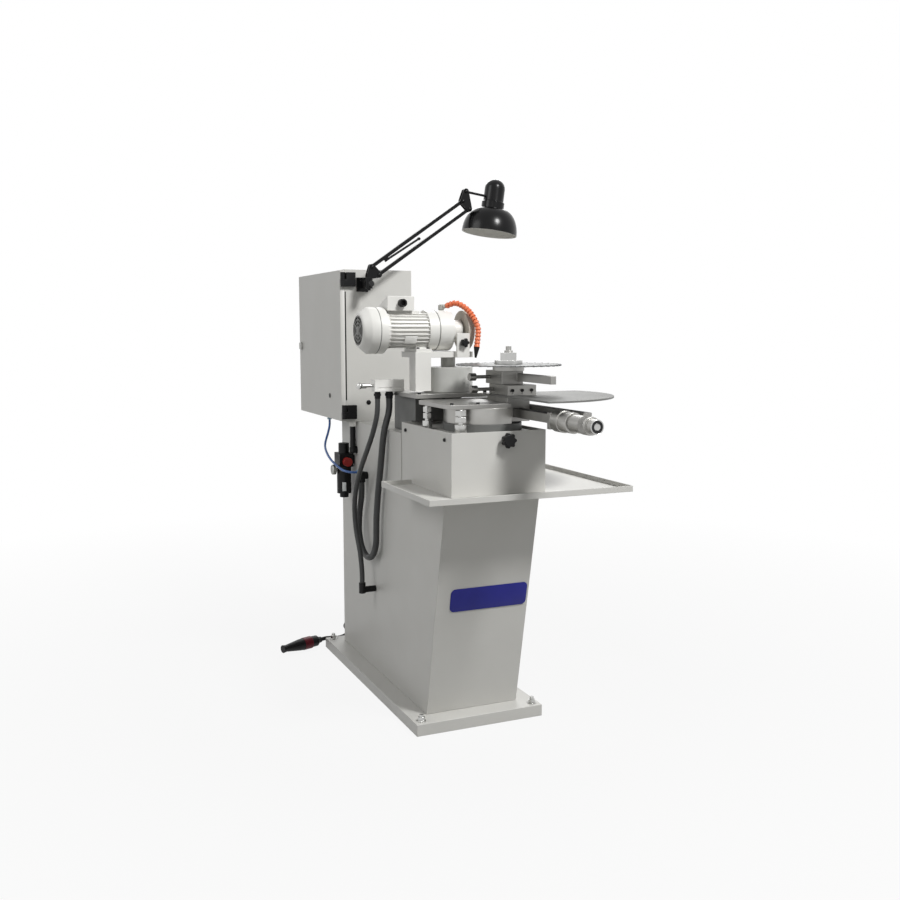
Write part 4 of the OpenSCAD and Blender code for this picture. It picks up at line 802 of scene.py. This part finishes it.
knurl = make_piece(placed(grip, (SCREW_X, THIMBLE_FRONT + GRIP_BACK, SCREW_HEIGHT), FRONT), "thimble_knurl",
                   "feed_screw", [milled_steel], KNURL_SHARP)
cap_profile = [(0, 0.3), (7, 0.3), (8, 1.4), (9, 0.2), (16, 0.2), (17.5, 1.2), (18.6, 0.6)]
cap_profile += [(18.8, -0.5), (0, -0.5)]
CAP_SHADE_IN, CAP_SHADE_OUT, CAP_STEPS = 9, 16, 40
end_cap = spun(cap_profile, CAP_STEPS)
# The floor of the cap's recess, between the two ridges, gets black oxide as painted shade in the recess.
for face in end_cap.faces:
    out = face.calc_center_median().xy.length / MM
    face.material_index = int(CAP_SHADE_IN < out < CAP_SHADE_OUT)
cap = make_piece(placed(end_cap, (SCREW_X, THIMBLE_FRONT - CAP_AHEAD, SCREW_HEIGHT), FRONT), "thimble_end",
                 "feed_screw", [bright_plate, black_oxide])

# %% Graduations
TICKS, TICK_LONG, TICK_SHORT, TICK_HALF = 36, 11, 7, 0.35
TICK_DEEP, TICK_PROUD, TICK_EDGE = 0.4, 0.15, 0.1
ticks = []
for i in range(TICKS):
    turn = 2 * pi * i / TICKS
    length = TICK_LONG if i % 5 == 0 else TICK_SHORT
    mark = block((-TICK_HALF, THIMBLE_BACK - length, THIMBLE_R - TICK_DEEP),
                 (TICK_HALF, THIMBLE_BACK - 1, THIMBLE_R + TICK_PROUD), TICK_EDGE)
    bmesh.ops.rotate(mark, verts=mark.verts[:], cent=(0, 0, 0), matrix=Matrix.Rotation(turn, 3, "Y"))
    bmesh.ops.translate(mark, verts=mark.verts[:], vec=Vector((SCREW_X, 0, SCREW_HEIGHT)) * MM)
    ticks.append(mark)
graduations = make_piece(gather(ticks), "thimble_graduations", "feed_screw", [black_oxide])
print("knurls:", KNURLS, "graduations:", len(ticks))

# %% [markdown]
# ## Carbide tips
#
# Each tooth has a small block of sintered carbide brazed to its leading face, a little wider than the
# blade, so the cut is wider than the steel behind it. One bevelled block is turned to the place of
# every tooth.

# %% Tips on the teeth
TEETH = 36
BLADE_R, BLADE_MID = 150, 1040.2
ARBOR_AT = (100, -405)
# The tip's corners as radius, place across the tooth and height. Teeth lead by a tenth of their pitch.
TIP_LOW, TIP_HIGH = (141.5, -1.4, -2.2), (BLADE_R + 0.2, 1.2, 2.2)
TOOTH_LEAD = 0.1
tips = []
for i in range(TEETH):
    turn = 2 * pi * (i + TOOTH_LEAD) / TEETH
    tip = block(TIP_LOW, TIP_HIGH, GROUND)
    bmesh.ops.rotate(tip, verts=tip.verts[:], cent=(0, 0, 0), matrix=Matrix.Rotation(turn, 3, "Z"))
    bmesh.ops.translate(tip, verts=tip.verts[:], vec=Vector((*ARBOR_AT, BLADE_MID)) * MM)
    tips.append(tip)
tip_piece = make_piece(gather(tips), "carbide_tips", "arbor", [carbide])
print("carbide tips:", len(tips))

# %% [markdown]
# ## The air unit's gauge and window
#
# A small dial gauge stands on the left of the filter bowl, and a clear strip in the bowl's front shows
# the water in it. The strip is a bevelled block turned to lie flat on the round bowl.

# %% Gauge and window
BOWL_X, BOWL_Y, BOWL_R = -176, 275, 24
GAUGE_Z, DIAL_R, GAUGE_STEPS = 669, 14, 32
WINDOW_Z, WINDOW_TURN = 612, radians(17)
WINDOW_HALF, WINDOW_EDGE = Vector((6.5, 0.9, 15)), 0.7
gauge_profile = [(0, -2), (4, -2), (4, 6), (15.5, 6), (17, 7.5), (17, 17), (15.5, 18.5), (14, 18)]
gauge_profile += [(14, 16.8), (0, 16.8)]
gauge_shape = placed(spun(gauge_profile, GAUGE_STEPS, DIAL_R), (BOWL_X - BOWL_R, BOWL_Y, GAUGE_Z), LEFT)
gauge = make_piece(gauge_shape, "air_gauge", "stand", [cast_alloy, dial_face])
window = block(-WINDOW_HALF, WINDOW_HALF, WINDOW_EDGE)
to_face = Matrix.Rotation(-WINDOW_TURN, 3, "Z")
bmesh.ops.rotate(window, verts=window.verts[:], cent=(0, 0, 0), matrix=to_face)
window_at = Vector((BOWL_X - BOWL_R * sin(WINDOW_TURN), BOWL_Y - BOWL_R * cos(WINDOW_TURN), WINDOW_Z))
bmesh.ops.translate(window, verts=window.verts[:], vec=window_at * MM)
sight = make_piece(window, "sight_window", "stand", [sight_glass])
print("gauge at", GAUGE_Z, "and window at", WINDOW_Z, "mm above the floor")

# %% [markdown]
# ## The lamp's nuts and thumb screw
#
# Each pin of the lamp's arm ends in a domed nut outside the cheek, and a thumb screw in the clamp holds
# the post at its height. The nuts sit on the pins of the arm's solids, against the sides of the
# knuckle.

# %% Lamp nuts
NUT_STEPS = 16
NUT = [(0, -0.5), (6, -0.5), (6, 2.6), (4.4, 4.2), (2, 5), (0, 5.2)]
arm_low, arm_high = Vector((-115.5, 1339)), Vector((204.7, 1561.6))
TO_LINK, TO_HEAD = Vector((24, -24.5)), Vector((11.8, 32.3))
pins = {
    "lamp_post": [arm_low, arm_low + TO_LINK],
    "lamp_knuckle": [arm_high, arm_high + TO_LINK, arm_high + TO_HEAD],
}
low, high = (corner.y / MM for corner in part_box("lamp_knuckle"))
ends = ((low, FRONT), (high, BACK))
for body, places in pins.items():
    nuts = [placed(spun(NUT, NUT_STEPS), (x, y, z), axis) for x, z in places for y, axis in ends]
    nut_piece = make_piece(gather(nuts), "pin_nuts_" + body, body, [lacquer])
thumb = [(0, -2), (3, -2), (3, 7), (8, 7), (9, 8.2), (9, 15.8), (8, 17), (0, 17)]
THUMB_AT = (-124, 138, 1285)
thumb_screw = make_piece(placed(spun(thumb), THUMB_AT, FRONT), "clamp_screw", "stand", [black_oxide])
print("lamp nuts:", 2 * sum(len(places) for places in pins.values()))

# %% [markdown]
# ## The motor's seams and its blank plate
#
# The fan cover slips over the motor's frame, and the guard is spigoted on its other end. Each joint
# leaves a narrow gap in shade, which is painted here as a thin dark ring. A small blank plate is riveted to
# the lower fins.

# %% Seams and blank plate
COVER_R, COVER_SEAM = 68, -212
FRAME_R, GUARD_SEAM = 60, -24
SEAM_HALF, SEAM_DEEP, SEAM_PROUD, SEAM_STEPS = 1.1, 1, 0.3, 64


def seam(r, x):
    """A thin ring of painted shade round the motor's axis."""
    inner, outer = r - SEAM_DEEP, r + SEAM_PROUD
    profile = [(inner, -SEAM_HALF), (outer, -SEAM_HALF), (outer, SEAM_HALF), (inner, SEAM_HALF),
               (inner, -SEAM_HALF)]
    return placed(spun(profile, SEAM_STEPS), (x, AXIS_Y, AXIS_Z), RIGHT)


both_seams = gather([seam(COVER_R, COVER_SEAM), seam(FRAME_R, GUARD_SEAM)])
seams = make_piece(both_seams, "motor_seams", "head", [painted_shade_enamel])
TAG_TURN, TAG_X, TAG_OUT = radians(28), -116, 58
tag = block((-19, -1.2, -12), (19, 0.8, 12), THIN)
bmesh.ops.rotate(tag, verts=tag.verts[:], cent=(0, 0, 0), matrix=Matrix.Rotation(TAG_TURN, 3, "X"))
tag_at = Vector((TAG_X, AXIS_Y - TAG_OUT * cos(TAG_TURN), AXIS_Z - TAG_OUT * sin(TAG_TURN)))
bmesh.ops.translate(tag, verts=tag.verts[:], vec=tag_at * MM)
motor_tag = make_piece(tag, "motor_blank_plate", "head", [anodised])
print("seams at x", COVER_SEAM, "and", GUARD_SEAM, "mm")

# %% [markdown]
# ## A pipe under the cabinet
#
# A short black pipe takes the wiring from the cabinet's floor into the column. A pale nut holds it at
# the top, and an elbow turns it into the column's side. The upright, the elbow's arm and the nut are
# one profile each, spun. The nut is spun in six steps, which makes it a hexagon.

# %% Wiring pipe
PIPE_AT, PIPE_R = (-158, 231, 738), 9.5
PIPE_STEPS, NUT_SIDES = 28, 6
upright_profile = [(0, -11), (6, -10.5), (11, -7), (11.5, 9), (PIPE_R, 10), (PIPE_R, 84), (0, 84)]
elbow_profile = [(0, 0), (10.5, 0), (10.5, 11), (13, 11), (13, 13.2), (0, 13.2)]
nut_profile = [(0, 80), (12.5, 80), (13.5, 82), (13.5, 95), (12, 96.2), (0, 96.2)]
upright = placed(spun(upright_profile, PIPE_STEPS), PIPE_AT)
into_column = placed(spun(elbow_profile, PIPE_STEPS), PIPE_AT, RIGHT)
nut = spun(nut_profile, NUT_SIDES)
for face in nut.faces:
    face.material_index = 1
pipe_shapes = [upright, into_column, placed(nut, PIPE_AT)]
pipe = make_piece(gather(pipe_shapes), "wiring_pipe", "stand", [black_plastic, lamp_white])
print("pipe's elbow at", PIPE_AT, "mm")

# %% [markdown]
# ## Floor, backdrop and light
#
# The floor and the sky are white to the camera and to reflections, and light the machine at a plain
# level. Near the machine the floor keeps a tenth of its own shading, which is where the shadow shows.
# That share fades out with distance, so the floor meets the sky without a line. The main lamp is a disc
# high in front, on the operator's right, as the shadow under the slide tells. A weak lamp beside the
# camera, one on the left and one behind lift the sides that it leaves dark.

# %% Floor
FLOOR_HALF = 12
SHADE_NEAR, SHADE_FAR = 0.8, 3.2
WHITE_NEAR, WHITE_FAR = 0.9, 1.0
WHITE = (1, 1, 1, 1)
floor_shape = bmesh.new()
bmesh.ops.create_grid(floor_shape, x_segments=1, y_segments=1, size=FLOOR_HALF)
floor_mesh = bpy.data.meshes.new("floor")
floor_shape.to_mesh(floor_mesh)
floor_shape.free()
floor = bpy.data.objects.new("floor", floor_mesh)
bpy.context.scene.collection.objects.link(floor)

floor_finish = bpy.data.materials.new("studio floor")
floor_finish.use_nodes = True
paper = floor_finish.node_tree.nodes["Principled BSDF"]
paper.inputs["Base Color"].default_value = srgb("#a3a3a1")
paper.inputs["Roughness"].default_value = 0.9


def seen_directly(tree):
    """One where a ray comes from the camera, a mirror or a glass, and zero for the light itself."""
    path = add(tree, "ShaderNodeLightPath")
    rays = [path.outputs[name] for name in ("Is Camera Ray", "Is Glossy Ray", "Is Transmission Ray")]
    two = add(tree, "ShaderNodeMath", {"operation": "ADD"}, {0: rays[0], 1: rays[1]})
    return add(tree, "ShaderNodeMath", {"operation": "ADD", "use_clamp": True},
               {0: two.outputs[0], 1: rays[2]})


away = add(floor_finish, "ShaderNodeVectorMath", {"operation": "LENGTH"},
           {0: add(floor_finish, "ShaderNodeTexCoord").outputs["Object"]})
white_share = add(floor_finish, "ShaderNodeMapRange",
                  {"From Min": SHADE_NEAR, "From Max": SHADE_FAR,
                   "To Min": WHITE_NEAR, "To Max": WHITE_FAR},
                  {"Value": away.outputs["Value"]})
share = add(floor_finish, "ShaderNodeMath", {"operation": "MULTIPLY"},
            {0: seen_directly(floor_finish).outputs[0], 1: white_share.outputs["Result"]})
white = add(floor_finish, "ShaderNodeEmission", {"Color": WHITE, "Strength": 1.0})
blend = add(floor_finish, "ShaderNodeMixShader", {},
            {0: share.outputs[0], 1: paper.outputs[0], 2: white.outputs[0]})
floor_output = floor_finish.node_tree.nodes["Material Output"]
floor_finish.node_tree.links.new(blend.outputs[0], floor_output.inputs["Surface"])
floor_mesh.materials.append(floor_finish)
print("floor", 2 * FLOOR_HALF, "m across")

# %% Sky
SKY_LEVEL = 0.24
world = bpy.data.worlds.new("studio")
bpy.context.scene.world = world
world.use_nodes = True
sky = world.node_tree.nodes["Background"]
sky.inputs["Color"].default_value = srgb("#f4f5f6")
sky.inputs["Strength"].default_value = SKY_LEVEL
backdrop = add(world, "ShaderNodeBackground", {"Color": WHITE, "Strength": 1.0})
blend = add(world, "ShaderNodeMixShader", {},
            {0: seen_directly(world).outputs[0], 1: sky.outputs[0], 2: backdrop.outputs[0]})
world.node_tree.links.new(blend.outputs[0], world.node_tree.nodes["World Output"].inputs["Surface"])
print("sky level:", SKY_LEVEL)


# %% Lamps
def soft_lamp(name, place, target, size, watts):
    """A round lamp at a place, turned to its target. Sizes are in metres."""
    data = bpy.data.lights.new(name, "AREA")
    data.shape = "DISK"
    data.size = size
    data.energy = watts
    lamp = bpy.data.objects.new(name, data)
    lamp.location = place
    lamp.rotation_euler = (Vector(target) - Vector(place)).to_track_quat("-Z", "Y").to_euler()
    bpy.context.scene.collection.objects.link(lamp)


middle = (cad_box[0] + cad_box[1]) / 2
soft_lamp("key", (0.9, -2.5, 3.5), middle, 0.8, 122)
soft_lamp("front fill", (-1.7, -3.0, 1.9), middle, 1.2, 4)
soft_lamp("left fill", (-3.0, -0.2, 2.9), middle, 2.0, 30)
soft_lamp("back rim", (1.5, 3.2, 3.2), middle, 2.0, 40)
bpy.context.scene.view_settings.view_transform = "Standard"
print("lamps:", len(bpy.data.lights))

# %% [markdown]
# ## Size
#
# The size of the box round the solids is written out.

# %% Measure and finish
print("solid", [round(v, 3) for v in cad_box[1] - cad_box[0]])
